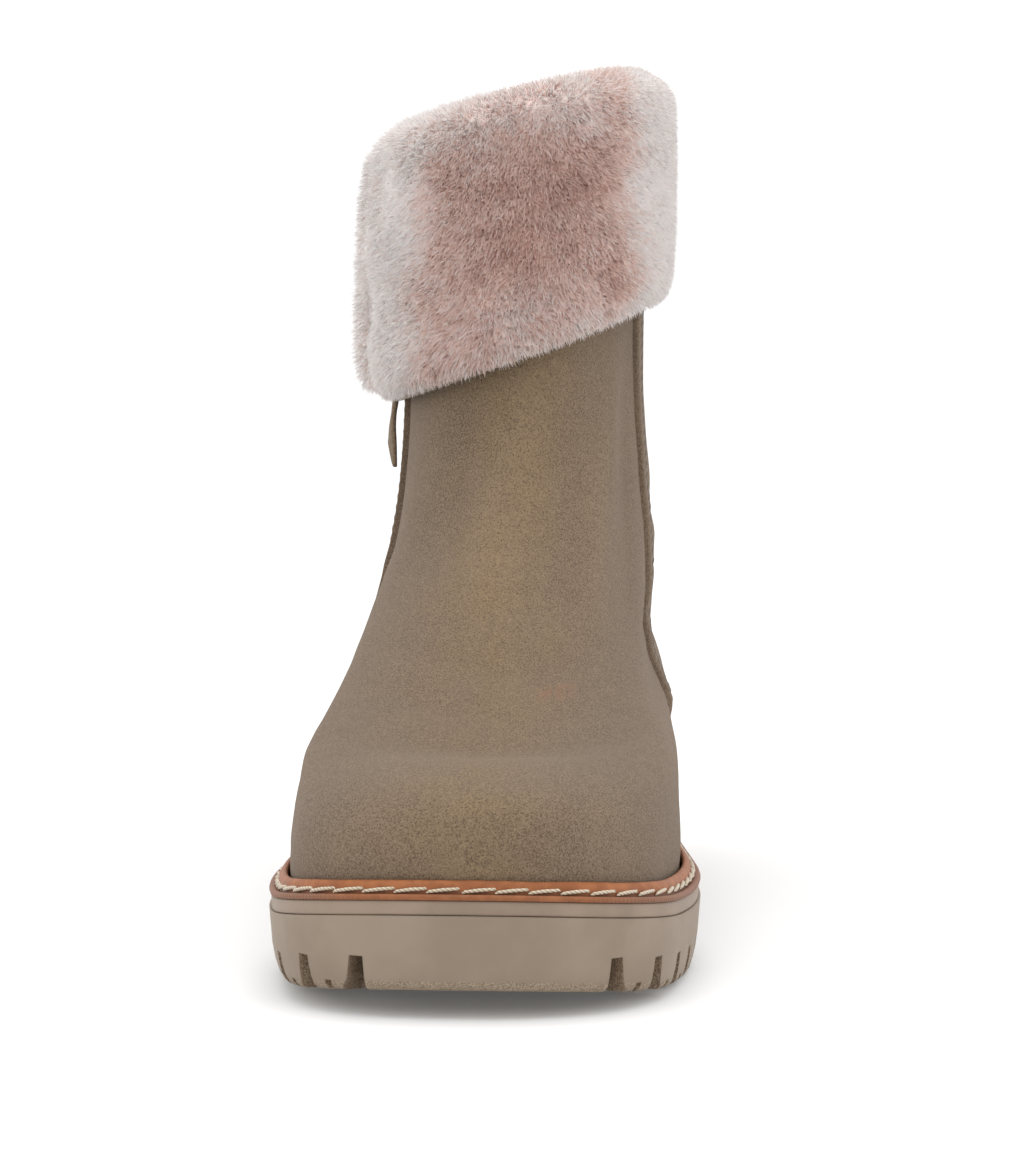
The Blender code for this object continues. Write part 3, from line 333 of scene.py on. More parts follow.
def column(name: str, v: Array) -> Array:
    """Value of a column of SECTIONS at row height v."""
    return smooth_through(v, range(len(SECTIONS)), SECTIONS[:, COLUMNS.index(name)])


def upper_surface(u: Array, v: Array) -> Array:
    """Outer face of the upper.

    Args:
        u: angles round the foot.
        v: rows of SECTIONS, of a shape that broadcasts with u.

    Returns:
        Points on the last's surface: each row is an outline with its own ends, widths and noses,
        its height runs straight from the front's to the back's and follows the sole's curve.
    """
    u, v = np.broadcast_arrays(np.asarray(u, dtype=float), np.asarray(v, dtype=float))
    front, back = column("front", v) * S.sole_length, column("back", v) * S.sole_length
    leg, follow = column("leg", v), column("follow", v)
    ball, shaft, toe = S.ball_width / 2, S.shaft_width / 2, S.toe_width / S.ball_width
    widths = [(1 - leg) * ball * share + leg * shaft * column("heel", v)
              for share in (toe * column("ball", v), column("ball", v), column("waist", v))]
    widths.append(shaft * column("heel", v))
    own_x, own_along = plan(
        u, front, back, widths, column("nose_front", v) * S.sole_length,
        column("nose_back", v) * S.sole_length,
        BLUNT_SHAFT + follow * (BLUNT_INSIDE - BLUNT_SHAFT),
        BLUNT_SHAFT + follow * (BLUNT_OUTSIDE - BLUNT_SHAFT), follow)
    own_x = own_x + ball * column("drift", v)
    low_x, low_along = sole_outline(u, S.feather * (1.0 - column("swell", v)))
    own = column("own", v)
    x = (1 - own) * low_x + own * own_x
    along = (1 - own) * low_along + own * own_along
    share = (along - front) / (back - front)
    leg_front = S.collar_height - feather_height(SECTIONS[-1, 0] * S.sole_length)
    leg_back = S.collar_height - S.collar_drop - feather_height(S.sole_length)

    def rise(level: Array) -> Array:
        """Height over the feather edge: 1 is the instep, 2 the collar."""
        return np.minimum(level, 1.0) * S.instep_rise \
            + np.maximum(level - 1.0, 0.0) * (leg_front - S.instep_rise)
    z_front = feather_height(front) + rise(column("rise_front", v))
    z_back = feather_height(back) + rise(column("rise_back", v)) * leg_back / leg_front
    z = z_front + (z_back - z_front) * share
    chord = feather_height(front) + (feather_height(back) - feather_height(front)) * share
    z = z + follow * (feather_height(along) - chord)
    z = z + column("roll", v) * S.collar_roll * x / (S.shaft_width / 2)
    return np.stack([x, along - S.sole_length / 2, z], axis=-1)


def surface_normal(u: Array, v: Array) -> Array:
    """Outward unit normal of the upper's outer face."""
    across = upper_surface(u + 0.02, v) - upper_surface(u - 0.02, v)
    up = upper_surface(u, np.minimum(v + 0.05, TOP_ROW)) - upper_surface(u, np.maximum(v - 0.05, 0))
    return unit(np.cross(across, up))


def girth(u: Array, v: Array) -> Array:
    """Metres round the upper for each radian of u."""
    return np.linalg.norm(upper_surface(u + 0.02, v) - upper_surface(u - 0.02, v), axis=-1) / 0.04


def row_at_height(u: Array, z: Array) -> Array:
    """Row height v at which the upper's outer face reaches z, for each u."""
    rows = np.linspace(6.0, TOP_ROW, 181)
    heights = upper_surface(u[:, None], rows[None, :])[..., 2]
    return np.array([np.interp(level, line, rows) for level, line in zip(z, heights)])


def seam_along(z: Array) -> Array:
    """Place along the sole of the quarter's front edge at height z."""
    heights = [share * S.collar_height for share in SEAM_HEIGHTS]
    return smooth_through(z, heights, np.array(SEAM_ALONG) * S.sole_length)


def zip_along(z: Array) -> Array:
    """Place along the sole of the zip at height z."""
    share = ease((z - feather_height(ZIP_FOOT_ALONG * S.sole_length)) / S.zip_bend)
    return S.sole_length * (ZIP_FOOT_ALONG + (ZIP_TOP_ALONG - ZIP_FOOT_ALONG) * share)


def zip_foot_height() -> float:
    """Height at which the zip's chain starts."""
    return feather_height(ZIP_FOOT_ALONG * S.sole_length) + S.zip_foot


def crossing(rows: Array, side: float, line: Callable[[Array], Array]) -> Array:
    """Angle u at which each row crosses a line along(z) on one side of the foot: 1 outside."""
    fine = np.linspace(0.15, math.pi, 300)
    rings = upper_surface(side * fine[None, :], rows[:, None])
    behind = rings[..., 1] + S.sole_length / 2 - line(rings[..., 2])
    angles = np.array([np.interp(0.0, row, fine) for row in behind])
    return angles if side > 0 else TAU - angles


@dataclass(frozen=True)
class Fold:
    """Soft trough or ridge in the leather.

    Args:
        where: what it is on the boot; not used by the code.
        degrees: angle u of its middle, positive to the outside.
        row: row v of its middle.
        length: half length along it.
        width: half width across it.
        height: how far it stands out, negative for a trough.
        turn: its direction in degrees: 0 runs round the foot, 90 up the leg.
        bend: curvature of its line, in one over metres.
    """
    where: str
    degrees: float
    row: float
    length: float
    width: float
    height: float
    turn: float = 0.0
    bend: float = 0.0

    def relief(self, u: Array, v: Array) -> Array:
        """Height of the fold at each point, a bell across it with a shallow opposite on each side."""
        u0, v0 = math.radians(self.degrees), self.row
        round_scale = np.linalg.norm(upper_surface(u0 + 0.1, v0) - upper_surface(u0 - 0.1, v0)) / 0.2
        up_scale = np.linalg.norm(upper_surface(u0, v0 + 0.25) - upper_surface(u0, v0 - 0.25)) / 0.5
        a = (np.mod(u - u0 + math.pi, TAU) - math.pi) * round_scale
        b = (v - v0) * up_scale
        c, s = math.cos(math.radians(self.turn)), math.sin(math.radians(self.turn))
        along, across = a * c + b * s, b * c - a * s
        across = (across + self.bend * along ** 2) / self.width
        bell = np.exp(-across ** 2) - 0.32 * np.exp(-(np.abs(across) - 1.7) ** 2)
        return self.height * bell * np.exp(-(along / self.length) ** 4)


FOLDS = (
    Fold("puffed top of the toe box", 4, 4.6, 0.030, 0.016, 0.0008),
    Fold("saddle behind the toe box", 2, 6.1, 0.028, 0.013, -0.0009, -3, 3.5),
    Fold("outer dimple of the saddle", 36, 5.9, 0.012, 0.008, -0.0005, -14),
    Fold("vamp flex line", -10, 7.2, 0.022, 0.008, -0.0008, -14, 3.0),
    Fold("upper flex line", 10, 8.0, 0.022, 0.009, -0.0007, 14, 3.0),
    Fold("hollow at the front of the ankle", -26, 10.8, 0.032, 0.010, -0.0013, 72),
    Fold("ridge beside that hollow", -2, 10.6, 0.034, 0.009, 0.0006, 80),
    Fold("fold up the outside of the shaft", 44, 10.3, 0.046, 0.0065, 0.0010, 80, 2.0),
    Fold("hollow behind that fold", 62, 10.0, 0.040, 0.008, -0.0008, 84),
    Fold("ankle wrinkle, outside", 108, 9.3, 0.024, 0.0048, -0.0014, 22, 5.0),
    Fold("second wrinkle, outside", 122, 10.4, 0.024, 0.0050, -0.0012, 10, -4.0),
    Fold("ankle wrinkle, inside", -112, 9.2, 0.020, 0.0048, -0.0012, -20, 5.0),
    Fold("second wrinkle, inside", -132, 10.3, 0.020, 0.0050, -0.0011, -8, -4.0),
    Fold("tendon crease", 182, 9.6, 0.022, 0.0045, -0.0013, 0, 4.0),
    Fold("upper tendon crease", 176, 10.8, 0.018, 0.0050, -0.0010, 4, -4.0),
    Fold("heel counter, outside", 140, 4.5, 0.030, 0.010, 0.0006, 8),
    Fold("heel counter, inside", -140, 4.5, 0.030, 0.010, 0.0006, -8),
)


def leather_relief(u: Array, v: Array) -> Array:
    """Sum of the folds and a slight unevenness of the skin."""
    total = sum(fold.relief(u, v) for fold in FOLDS)
    uneven = 0.00030 * value_noise(u * 2.6 + 9.0, v * 0.8, 11)
    uneven = uneven + 0.00010 * value_noise(u * 8.0 + 30.0, v * 2.6, 12)
    return (total + uneven) * ease(v / 1.2)


# Meshes


def grid_faces(rows: int, cols: int, wrap_rows: bool = False, wrap_cols: bool = False) -> Array:
    """Quads of a grid numbered row by row."""
    i, j = np.meshgrid(np.arange(rows if wrap_rows else rows - 1),
                       np.arange(cols if wrap_cols else cols - 1), indexing="ij")
    i_next, j_next = (i + 1) % rows, (j + 1) % cols
    quads = (i * cols + j, i * cols + j_next, i_next * cols + j_next, i_next * cols + j)
    return np.stack(quads, axis=-1).reshape(-1, 4)


@dataclass
class Shape:
    """Points, faces and per-point values of one mesh.

    Args:
        points: array of points.
        faces: arrays of faces, one array for each number of corners.
        values: per-point attributes: one number or a colour for each point.
        arc: pairs of per-point surface coordinates, for the UV map.
        normals: per-point normals that the shading uses, if not the mesh's own.
    """
    points: Array
    faces: list[Array]
    values: dict[str, Array] = field(default_factory=dict)
    arc: Array | None = None
    normals: Array | None = None

    def joined(self, other: "Shape") -> "Shape":
        """This shape and another as one; both must carry the same values."""
        shift = len(self.points)
        faces = list(self.faces) + [quads + shift for quads in other.faces]
        values = {key: np.concatenate([self.values[key], other.values[key]]) for key in self.values}
        return Shape(np.concatenate([self.points, other.points]), faces, values)

    def to_object(self, name: str, material: Material, sharp: float | None = None) -> Piece:
        """Mesh object with the shape's attributes, smooth but for edges over sharp degrees."""
        mesh = bpy.data.meshes.new(name)
        mesh.vertices.add(len(self.points))
        mesh.vertices.foreach_set("co", np.ascontiguousarray(self.points, dtype=np.float32).ravel())
        corners = np.concatenate([faces.ravel() for faces in self.faces]).astype(np.int32)
        sizes = np.concatenate([np.full(len(faces), faces.shape[1]) for faces in self.faces])
        starts = np.concatenate([[0], np.cumsum(sizes)[:-1]]).astype(np.int32)
        mesh.loops.add(len(corners))
        mesh.loops.foreach_set("vertex_index", corners)
        mesh.polygons.add(len(sizes))
        mesh.polygons.foreach_set("loop_start", starts)
        mesh.update(calc_edges=True)
        mesh.validate()
        for key, value in self.values.items():
            kind, label = ("FLOAT", "value") if value.ndim == 1 else ("FLOAT_COLOR", "color")
            if value.ndim > 1:
                value = np.concatenate([value, np.ones((len(value), 1))], axis=1)
            data = mesh.attributes.new(key, kind, "POINT").data
            data.foreach_set(label, value.astype(np.float32).ravel())
        if self.arc is not None:
            layer = mesh.uv_layers.new(name="arc")
            layer.data.foreach_set("uv", self.arc[corners].astype(np.float32).ravel())
        mesh.shade_smooth()
        if sharp is not None:
            mesh.set_sharp_from_angle(angle=math.radians(sharp))
        if self.normals is not None:
            mesh.normals_split_custom_set_from_vertices(self.normals.astype(np.float32))
        mesh.materials.append(material)
        return placed(name, mesh)


def placed(name: str, data: bpy.types.ID) -> Piece:
    """New object in the scene."""
    obj = bpy.data.objects.new(name, data)
    bpy.context.scene.collection.objects.link(obj)
    return obj


def settle(obj: Piece, slot: Slot, *nodes: str, body: Body = Body.BOOT) -> Piece:
    """Let a piece ride on its body and stand for CAD nodes, and log it."""
    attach(obj, body.value)
    if nodes:
        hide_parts(*nodes)
    mesh = obj.data
    triangles = len(mesh.loops) - 2 * len(mesh.polygons)
    LOG.info("%s: %d points, %d triangles", obj.name, len(mesh.vertices), triangles)
    return obj


def shell(inner: Array, outer: Array, keep: Array | None = None,
          values: dict[str, Array] | None = None) -> Shape:
    """Closed shell between two grids.

    Args:
        inner: rows by columns of points of the hidden side.
        outer: the same for the side that shows.
        keep: which quads are kept, all if None.
        values: grids of numbers that both sides carry.

    Returns:
        Both sides and a wall along every edge of the kept quads.
    """
    rows, cols = inner.shape[:2]
    quads = grid_faces(rows, cols)
    if keep is not None:
        quads = quads[keep.ravel()]
    ahead = np.concatenate([quads[:, [k, (k + 1) % 4]] for k in range(4)])
    code, back = ahead[:, 0] * rows * cols + ahead[:, 1], ahead[:, 1] * rows * cols + ahead[:, 0]
    edges = ahead[~np.isin(code, back)]
    shift = rows * cols
    wall = np.stack([edges[:, 0], edges[:, 1], edges[:, 1] + shift, edges[:, 0] + shift], axis=-1)
    faces = np.concatenate([quads[:, ::-1], quads + shift, wall])
    points = np.concatenate([inner.reshape(-1, 3), outer.reshape(-1, 3)])
    used = np.unique(faces)
    place = np.zeros(len(points), dtype=int)
    place[used] = np.arange(len(used))
    carried = {key: np.tile(value.ravel(), 2)[used] for key, value in (values or {}).items()}
    return Shape(points[used], [place[faces]], carried)


def capsules(centres: Array, along: Array, out: Array, length: Array, radius: float,
             flat: float = 0.8) -> Shape:
    """Row of short thread stitches, each a capsule of 5 rings with 6 corners.

    Args:
        centres: middle of each stitch.
        along: unit direction of each stitch.
        out: unit normal of the surface under each stitch.
        length: full length of each stitch.
        radius: radius of the thread at the middle.
        flat: height of a stitch over its width.

    Returns:
        The stitches with "ply", a coordinate along the thread in metres.
    """
    side = unit(np.cross(out, along))[:, None, None]
    angles = np.arange(6) * TAU / 6
    stations = np.array([(-1.0, 0.30), (-0.82, 0.85), (0.0, 1.0), (0.82, 0.85), (1.0, 0.30)])
    dip = np.array([-0.9, 0.0, 0.3, 0.0, -0.9])
    ring = np.stack([np.cos(angles), np.sin(angles) * flat], axis=-1)
    along, out = along[:, None, None], out[:, None, None]
    reach, thick = length[:, None, None, None] / 2 * stations[:, None, 0:1], radius * stations[:, None, 1:2]
    place = centres[:, None, None] + along * reach + out * (radius * dip[:, None, None])
    place = place + side * (thick * ring[:, 0:1]) + out * (thick * ring[:, 1:2])
    count = len(centres)
    one = np.concatenate([grid_faces(5, 6, False, True),
                          np.array([[0, 1, 2, 3], [0, 3, 4, 5]]),
                          np.array([[24, 27, 26, 25], [24, 29, 28, 27]])])
    faces = (one[None, :, :] + (np.arange(count) * 30)[:, None, None]).reshape(-1, 4)
    ply = (length[:, None, None] / 2 * stations[None, :, None, 0]) + np.zeros((1, 1, 6))
    return Shape(place.reshape(-1, 3), [faces], {"ply": ply.reshape(-1)})


def along_line(points: Array, pitch: float) -> tuple[Array, Array, Array]:
    """Even places on a line: their arc lengths, points and unit directions."""
    arc = arc_length(points)
    places = np.arange(pitch / 2, arc[-1] - pitch / 4, pitch)
    middle = np.stack([np.interp(places, arc, points[:, k]) for k in range(3)], axis=-1)
    ahead = np.stack([np.interp(places + pitch / 4, arc, points[:, k]) for k in range(3)], axis=-1)
    return places, middle, unit(ahead - middle + 1e-9)


# Materials


@dataclass(frozen=True)
class Finish:
    """Values that a material sets on its Principled shader."""
    name: str
    colour: Colour
    roughness: float
    specular: float = 0.5
    sheen: float = 0.0
    sheen_roughness: float = 0.5
    sheen_tint: Colour = (1.0, 1.0, 1.0)
    coat: float = 0.0
    coat_roughness: float = 0.3
    metallic: float = 0.0


class Graph:
    """Node tree that is built by short calls."""

    def __init__(self, tree: Tree) -> None:
        """Keep the tree that is built."""
        self.tree = tree

    def node(self, kind: str, settings: dict | None = None, **inputs: object) -> Node:
        """New node; settings are its properties, inputs its sockets by name, _ for a space."""
        made = self.tree.nodes.new(kind)
        for key, value in (settings or {}).items():
            setattr(made, key, value)
        for key, value in inputs.items():
            self.feed(made.inputs[key.replace("_", " ")], value)
        return made

    def feed(self, socket: Socket, value: object) -> None:
        """Link a socket to a socket, or set it to a plain value."""
        if isinstance(value, Socket):
            self.tree.links.new(value, socket)
        elif isinstance(value, tuple) and len(value) == 3 and len(socket.default_value) == 4:
            socket.default_value = (*value, 1.0)
        else:
            socket.default_value = value

    def math(self, operation: str, a: object, b: object = 0.0) -> Socket:
        """Result of one arithmetic operation."""
        made = self.node("ShaderNodeMath", {"operation": operation})
        self.feed(made.inputs[0], a)
        self.feed(made.inputs[1], b)
        return made.outputs[0]

    def times(self, value: object, factor: object) -> Socket:
        """Product of two numbers."""
        return self.math("MULTIPLY", value, factor)

    def mix(self, share: object, a: object, b: object) -> Socket:
        """Mixture of two colours."""
        made = self.node("ShaderNodeMix", {"data_type": "RGBA"})
        for socket, value in zip((made.inputs[0], made.inputs[6], made.inputs[7]), (share, a, b)):
            self.feed(socket, value)
        return made.outputs[2]

    def span(self, value: object, low: float, high: float, to_low: float = 0.0,
             to_high: float = 1.0) -> Socket:
        """Value eased from one range to another and held at its ends."""
        made = self.node("ShaderNodeMapRange", {"interpolation_type": "SMOOTHSTEP", "clamp": True},
                         From_Min=low, From_Max=high, To_Min=to_low, To_Max=to_high)
        self.feed(made.inputs["Value"], value)
        return made.outputs["Result"]

    def place(self) -> Socket:
        """Object coordinates."""
        return self.node("ShaderNodeTexCoord").outputs["Object"]

    def number(self, name: str) -> Socket:
        """Per-point number of the mesh."""
        return self.node("ShaderNodeAttribute", {"attribute_name": name}).outputs["Fac"]

    def tint(self, name: str) -> Socket:
        """Per-point colour of the mesh."""
        return self.node("ShaderNodeAttribute", {"attribute_name": name}).outputs["Color"]

    def effect(self, group: Tree, **inputs: object) -> Socket:
        """First output of a node group."""
        made = self.node("ShaderNodeGroup", {"node_tree": group}, **inputs)
        return made.outputs[0]


FLOAT, VECTOR = "NodeSocketFloat", "NodeSocketVector"


def new_effect(name: str, inputs: Sequence[tuple[str, str, object]],
               output: tuple[str, str]) -> tuple[Graph, Node, Node]:
    """Empty shader node group with named sockets: its graph, its input node and output node."""
    tree = bpy.data.node_groups.new(name, "ShaderNodeTree")
    for label, kind, value in inputs:
        socket = tree.interface.new_socket(name=label, in_out="INPUT", socket_type=kind)
        if value is not None:
            socket.default_value = value
    tree.interface.new_socket(name=output[0], in_out="OUTPUT", socket_type=output[1])
    return Graph(tree), tree.nodes.new("NodeGroupInput"), tree.nodes.new("NodeGroupOutput")


class Effects:
    """Shader node groups shared by the materials."""

    def __init__(self) -> None:
        """Make each group once."""
        self.mottle = self._mottle()
        self.grain = self._grain()
        self.twist = self._twist()

    @staticmethod
    def _mottle() -> Tree:
        """Soft cloudy mask between two thresholds."""
        graph, inner, outer = new_effect(
            "soft mottle", (("Vector", VECTOR, None), ("Scale", FLOAT, 100.0), ("Detail", FLOAT, 3.0),
                            ("Low", FLOAT, 0.4), ("High", FLOAT, 0.6)), ("Mask", FLOAT))
        noise = graph.node("ShaderNodeTexNoise", None, Vector=inner.outputs["Vector"],
                           Scale=inner.outputs["Scale"], Detail=inner.outputs["Detail"],
                           Roughness=0.55)
        made = graph.node("ShaderNodeMapRange", {"interpolation_type": "SMOOTHSTEP"},
                          Value=noise.outputs["Fac"], From_Min=inner.outputs["Low"],
                          From_Max=inner.outputs["High"])
        graph.feed(outer.inputs["Mask"], made.outputs["Result"])
        return graph.tree

    @staticmethod
    def _grain() -> Tree:
        """Fine surface grain as a bumped normal."""
        graph, inner, outer = new_effect(
            "fine grain", (("Vector", VECTOR, None), ("Scale", FLOAT, 900.0),
                           ("Height", FLOAT, 0.0002), ("Normal", VECTOR, None)), ("Normal", VECTOR))
        noise = graph.node("ShaderNodeTexNoise", None, Vector=inner.outputs["Vector"],
                           Scale=inner.outputs["Scale"], Detail=4.0, Roughness=0.7)
        bump = graph.node("ShaderNodeBump", None, Strength=1.0, Distance=inner.outputs["Height"],
                          Height=noise.outputs["Fac"], Normal=inner.outputs["Normal"])
        graph.feed(outer.inputs["Normal"], bump.outputs["Normal"])
        return graph.tree

    @staticmethod
    def _twist() -> Tree:
        """Slanting plies of a thread as a mask from its coordinate along the thread."""
        graph, inner, outer = new_effect(
            "thread twist", (("Along", FLOAT, 0.0), ("Across", FLOAT, 0.0),
                             ("Pitch", FLOAT, 0.0012)), ("Ply", FLOAT))
        turn = graph.math("DIVIDE", inner.outputs["Along"], inner.outputs["Pitch"])
        slant = graph.math("ADD", turn, graph.times(inner.outputs["Across"], 900.0))
        wave = graph.math("SINE", graph.times(slant, TAU))
        graph.feed(outer.inputs["Ply"], graph.span(wave, -1.0, 1.0))
        return graph.tree


class Paint(Graph):
    """Graph of one material round its Principled node."""

    def __init__(self, fx: Effects, finish: Finish) -> None:
        """Make the material with the finish's plain values."""
        self.material = bpy.data.materials.new(finish.name)
        self.material.use_nodes = True
        super().__init__(self.material.node_tree)
        self.fx = fx
        self.shader = self.tree.nodes["Principled BSDF"]
        for socket, value in (("Base Color", finish.colour), ("Roughness", finish.roughness),
                              ("Specular IOR Level", finish.specular), ("Metallic", finish.metallic),
                              ("Sheen Weight", finish.sheen), ("Sheen Tint", finish.sheen_tint),
                              ("Sheen Roughness", finish.sheen_roughness),
                              ("Coat Weight", finish.coat), ("Coat Roughness", finish.coat_roughness)):
            self.feed(self.shader.inputs[socket], value)

    def spots(self, scale: float, detail: float, low: float, high: float) -> Socket:
        """Mottle in object coordinates, at a scale and between two thresholds."""
        return self.effect(self.fx.mottle, Vector=self.place(), Scale=scale, Detail=detail, Low=low,
                           High=high)

    def grain(self, scale: float, height: float, **inputs: object) -> Socket:
        """Normal of a fine grain in object coordinates."""
        return self.effect(self.fx.grain, Vector=self.place(), Scale=scale, Height=height, **inputs)

    def bump(self, strength: float, distance: float, **inputs: object) -> Socket:
        """Normal of a height."""
        return self.node("ShaderNodeBump", None, Strength=strength, Distance=distance,
                         **inputs).outputs[0]

    def bevel(self, radius: float) -> Socket:
        """Normal of edges that are rounded for the light."""
        return self.node("ShaderNodeBevel", {"samples": 4}, Radius=radius).outputs[0]

    def done(self, colour: object = None, normal: Socket | None = None) -> Material:
        """The material, with its colour and normal linked."""
        for socket, value in (("Base Color", colour), ("Normal", normal)):
            if value is not None:
                self.feed(self.shader.inputs[socket], value)
        return self.material


class Paints:
    """Materials of the boot, made once."""

    def __init__(self) -> None:
        """Make the effects, then each material."""
        self.fx = Effects()
        self.nubuck = self._nubuck()
        self.edge = self._edge()
        self.fur = self._fur()
        self.pelt = self._pelt()
        self.welt = self._welt()
        self.thread = self._thread("welt thread", (0.60, 0.50, 0.37))
        self.quiet_thread = self._thread("seam thread", (0.150, 0.108, 0.075))
        self.rubber = self._rubber()
        self.rough_rubber = self._rough_rubber()
        self.band = self._band()
        self.tape = self._tape()
        self.metal = self._metal()
        self.floor = self._floor()

    def _nubuck(self) -> Material:
        """Napped leather: cloudy olive taupe, paler where it is rubbed and under painted highlight, with
        painted shade in hollows and at a glancing view, and a fine nap.
        """
        g = Paint(self.fx, Finish("nubuck", (0.166, 0.119, 0.079), 0.88, 0.20, 0.10, 0.5,
                                  (0.90, 0.75, 0.60)))
        warm, worn, dark = g.number("warm"), g.number("worn"), g.number("dark")
        cloud = g.spots(48.0, 4.0, 0.38, 0.64)
        patch = g.spots(210.0, 5.0, 0.36, 0.68)
        fleck = g.spots(2600.0, 2.0, 0.40, 0.60)
        pore = g.spots(2200.0, 2.0, 0.50, 0.64)
        base = g.mix(warm, (0.130, 0.091, 0.065), (0.160, 0.109, 0.065))
        base = g.mix(g.times(cloud, 0.50), base, (0.198, 0.141, 0.088))
        base = g.mix(g.times(patch, 0.30), base, (0.102, 0.070, 0.048))
        # paler: rubbed wear and painted highlight
        base = g.mix(g.times(worn, 0.70), base, (0.234, 0.171, 0.115))
        # painted shade from the mesh: fold troughs, ankle hollow, foot and outer side
        base = g.mix(g.times(dark, 0.70), base, (0.079, 0.055, 0.037))
        # painted shade: darker where the leather is seen at a glancing angle
        glance = g.node("ShaderNodeLayerWeight", None, Blend=0.5).outputs["Facing"]
        base = g.mix(g.span(glance, 0.10, 0.80, 0.0, 0.78), base, (0.083, 0.058, 0.042))
        gold = g.mix(warm, (0.241, 0.184, 0.133), (0.270, 0.196, 0.104))
        base = g.mix(g.times(fleck, 0.60), base, gold)
        base = g.mix(g.times(pore, 0.70), base, (0.076, 0.050, 0.033))
        base = g.mix(g.times(g.number("scuff"), 0.45), base, (0.209, 0.101, 0.061))
        nap = g.grain(1400.0, 0.00018)
        brushed = g.node("ShaderNodeMapping", None, Vector=g.place(), Scale=(1.0, 1.0, 0.35)).outputs[0]
        return g.done(base, g.effect(self.fx.grain, Vector=brushed, Scale=260.0, Height=0.00022, Normal=nap))

    def _edge(self) -> Material:
        """Raw cut edge of the hide."""
        g = Paint(self.fx, Finish("hide edge", (0.225, 0.169, 0.124), 0.9, 0.2, 0.2))
        cloud = g.effect(self.fx.mottle, Vector=g.place(), Scale=600.0, Detail=3.0)
        return g.done(g.mix(cloud, (0.150, 0.109, 0.075), (0.315, 0.247, 0.195)))

    def _fur(self) -> Material:
        """Hairs: colour from the mesh, with a painted sheen that makes them paler at a glancing view, light
        passing through the tips.
        """
        g = Paint(self.fx, Finish("fur hairs", (0.5, 0.36, 0.31), 0.95, 0.10, 0.08, 0.6))
        glance = g.node("ShaderNodeLayerWeight", None, Blend=0.42).outputs["Facing"]
        hair = g.tint("hair")
        # painted sheen: hairs seen at a glancing angle mixed towards near white
        pale = g.mix(g.times(g.span(glance, 0.45, 1.0), 0.45), hair, (0.88, 0.82, 0.79))
        through = g.node("ShaderNodeBsdfTranslucent", None, Color=pale)
        both = g.node("ShaderNodeMixShader", None)
        for socket, value in zip(both.inputs, (0.46, g.shader.outputs[0], through.outputs[0])):
            g.feed(socket, value)
        g.feed(g.tree.nodes["Material Output"].inputs["Surface"], both.outputs[0])
        return g.done(pale)

    def _pelt(self) -> Material:
        """Depth of the pile under the hairs."""
        g = Paint(self.fx, Finish("pile", (0.40, 0.27, 0.23), 1.0, 0.05, 0.2, 0.7))
        tuft = g.spots(520.0, 4.0, 0.3, 0.7)
        return g.done(g.mix(g.times(tuft, 0.35), g.tint("hair"), (0.90, 0.72, 0.64)),
                      g.grain(700.0, 0.0009))

    def _welt(self) -> Material:
        """Waxed cognac leather with painted shade in its crevices, browner on the rubbed flange, which is
        wheeled across its edge.
        """
        g = Paint(self.fx, Finish("welt leather", (0.33, 0.10, 0.035), 0.56, 0.18, coat=0.06,
                                  coat_roughness=0.35))
        cloud = g.spots(260.0, 4.0, 0.35, 0.7)
        base = g.mix(cloud, (0.215, 0.072, 0.025), (0.300, 0.108, 0.039))
        base = g.mix(g.number("flange"), base, (0.200, 0.092, 0.052))
        # painted shade in the crevices: the groove at the bead's foot and where the bead meets the upper
        base = g.mix(g.times(g.number("deep"), 0.75), base, (0.065, 0.027, 0.014))
        arc = g.node("ShaderNodeUVMap", {"uv_map": "arc"}).outputs[0]
        split = g.node("ShaderNodeSeparateXYZ", None, Vector=arc)
        wheel = g.math("SINE", g.times(split.outputs["X"], TAU / 0.0013))
        wheel = g.times(g.span(wheel, -1.0, 1.0), g.number("flange"))
        return g.done(base, g.bump(0.8, 0.0003, Height=wheel, Normal=g.grain(1100.0, 0.00008)))

    def _thread(self, name: str, colour: Colour) -> Material:
        """Waxed thread with two plies."""
        g = Paint(self.fx, Finish(name, colour, 0.6, 0.35, 0.2))
        height = g.node("ShaderNodeSeparateXYZ", None, Vector=g.place()).outputs["Z"]
        ply = g.effect(self.fx.twist, Along=g.number("ply"), Across=height, Pitch=0.0013)
        shade = tuple(0.62 * part for part in colour)
        return g.done(g.mix(ply, shade, colour), g.bump(0.7, 0.00025, Height=ply))

    def _rubber(self) -> Material:
        """Smooth moulded rubber: soft clouds, rounded edges and a speckled lower edge."""
        g = Paint(self.fx, Finish("sole rubber", (0.210, 0.162, 0.120), 0.60, 0.35))
        cloud = g.spots(60.0, 5.0, 0.3, 0.7)
        base = g.mix(cloud, (0.217, 0.166, 0.121), (0.250, 0.196, 0.147))
        speck = g.spots(2300.0, 2.0, 0.40, 0.60)
        edge = g.mix(speck, (0.170, 0.124, 0.084), (0.300, 0.236, 0.170))
        ragged = g.spots(700.0, 3.0, 0.2, 0.8)
        cover = g.span(g.math("ADD", g.number("low"), g.times(ragged, 0.5)), 0.62, 0.92)
        return g.done(g.mix(cover, base, edge), g.grain(1500.0, 0.00006, Normal=g.bevel(0.0006)))

    def _rough_rubber(self) -> Material:
        """Unpolished rubber inside the grooves, brown with pale specks."""
        g = Paint(self.fx, Finish("rough rubber", (0.131, 0.089, 0.056), 0.85, 0.2))
        speck = g.spots(2200.0, 2.0, 0.40, 0.62)
        return g.done(g.mix(speck, (0.165, 0.112, 0.074), (0.340, 0.262, 0.182)),
                      g.grain(1300.0, 0.00025, Normal=g.bevel(0.0004)))

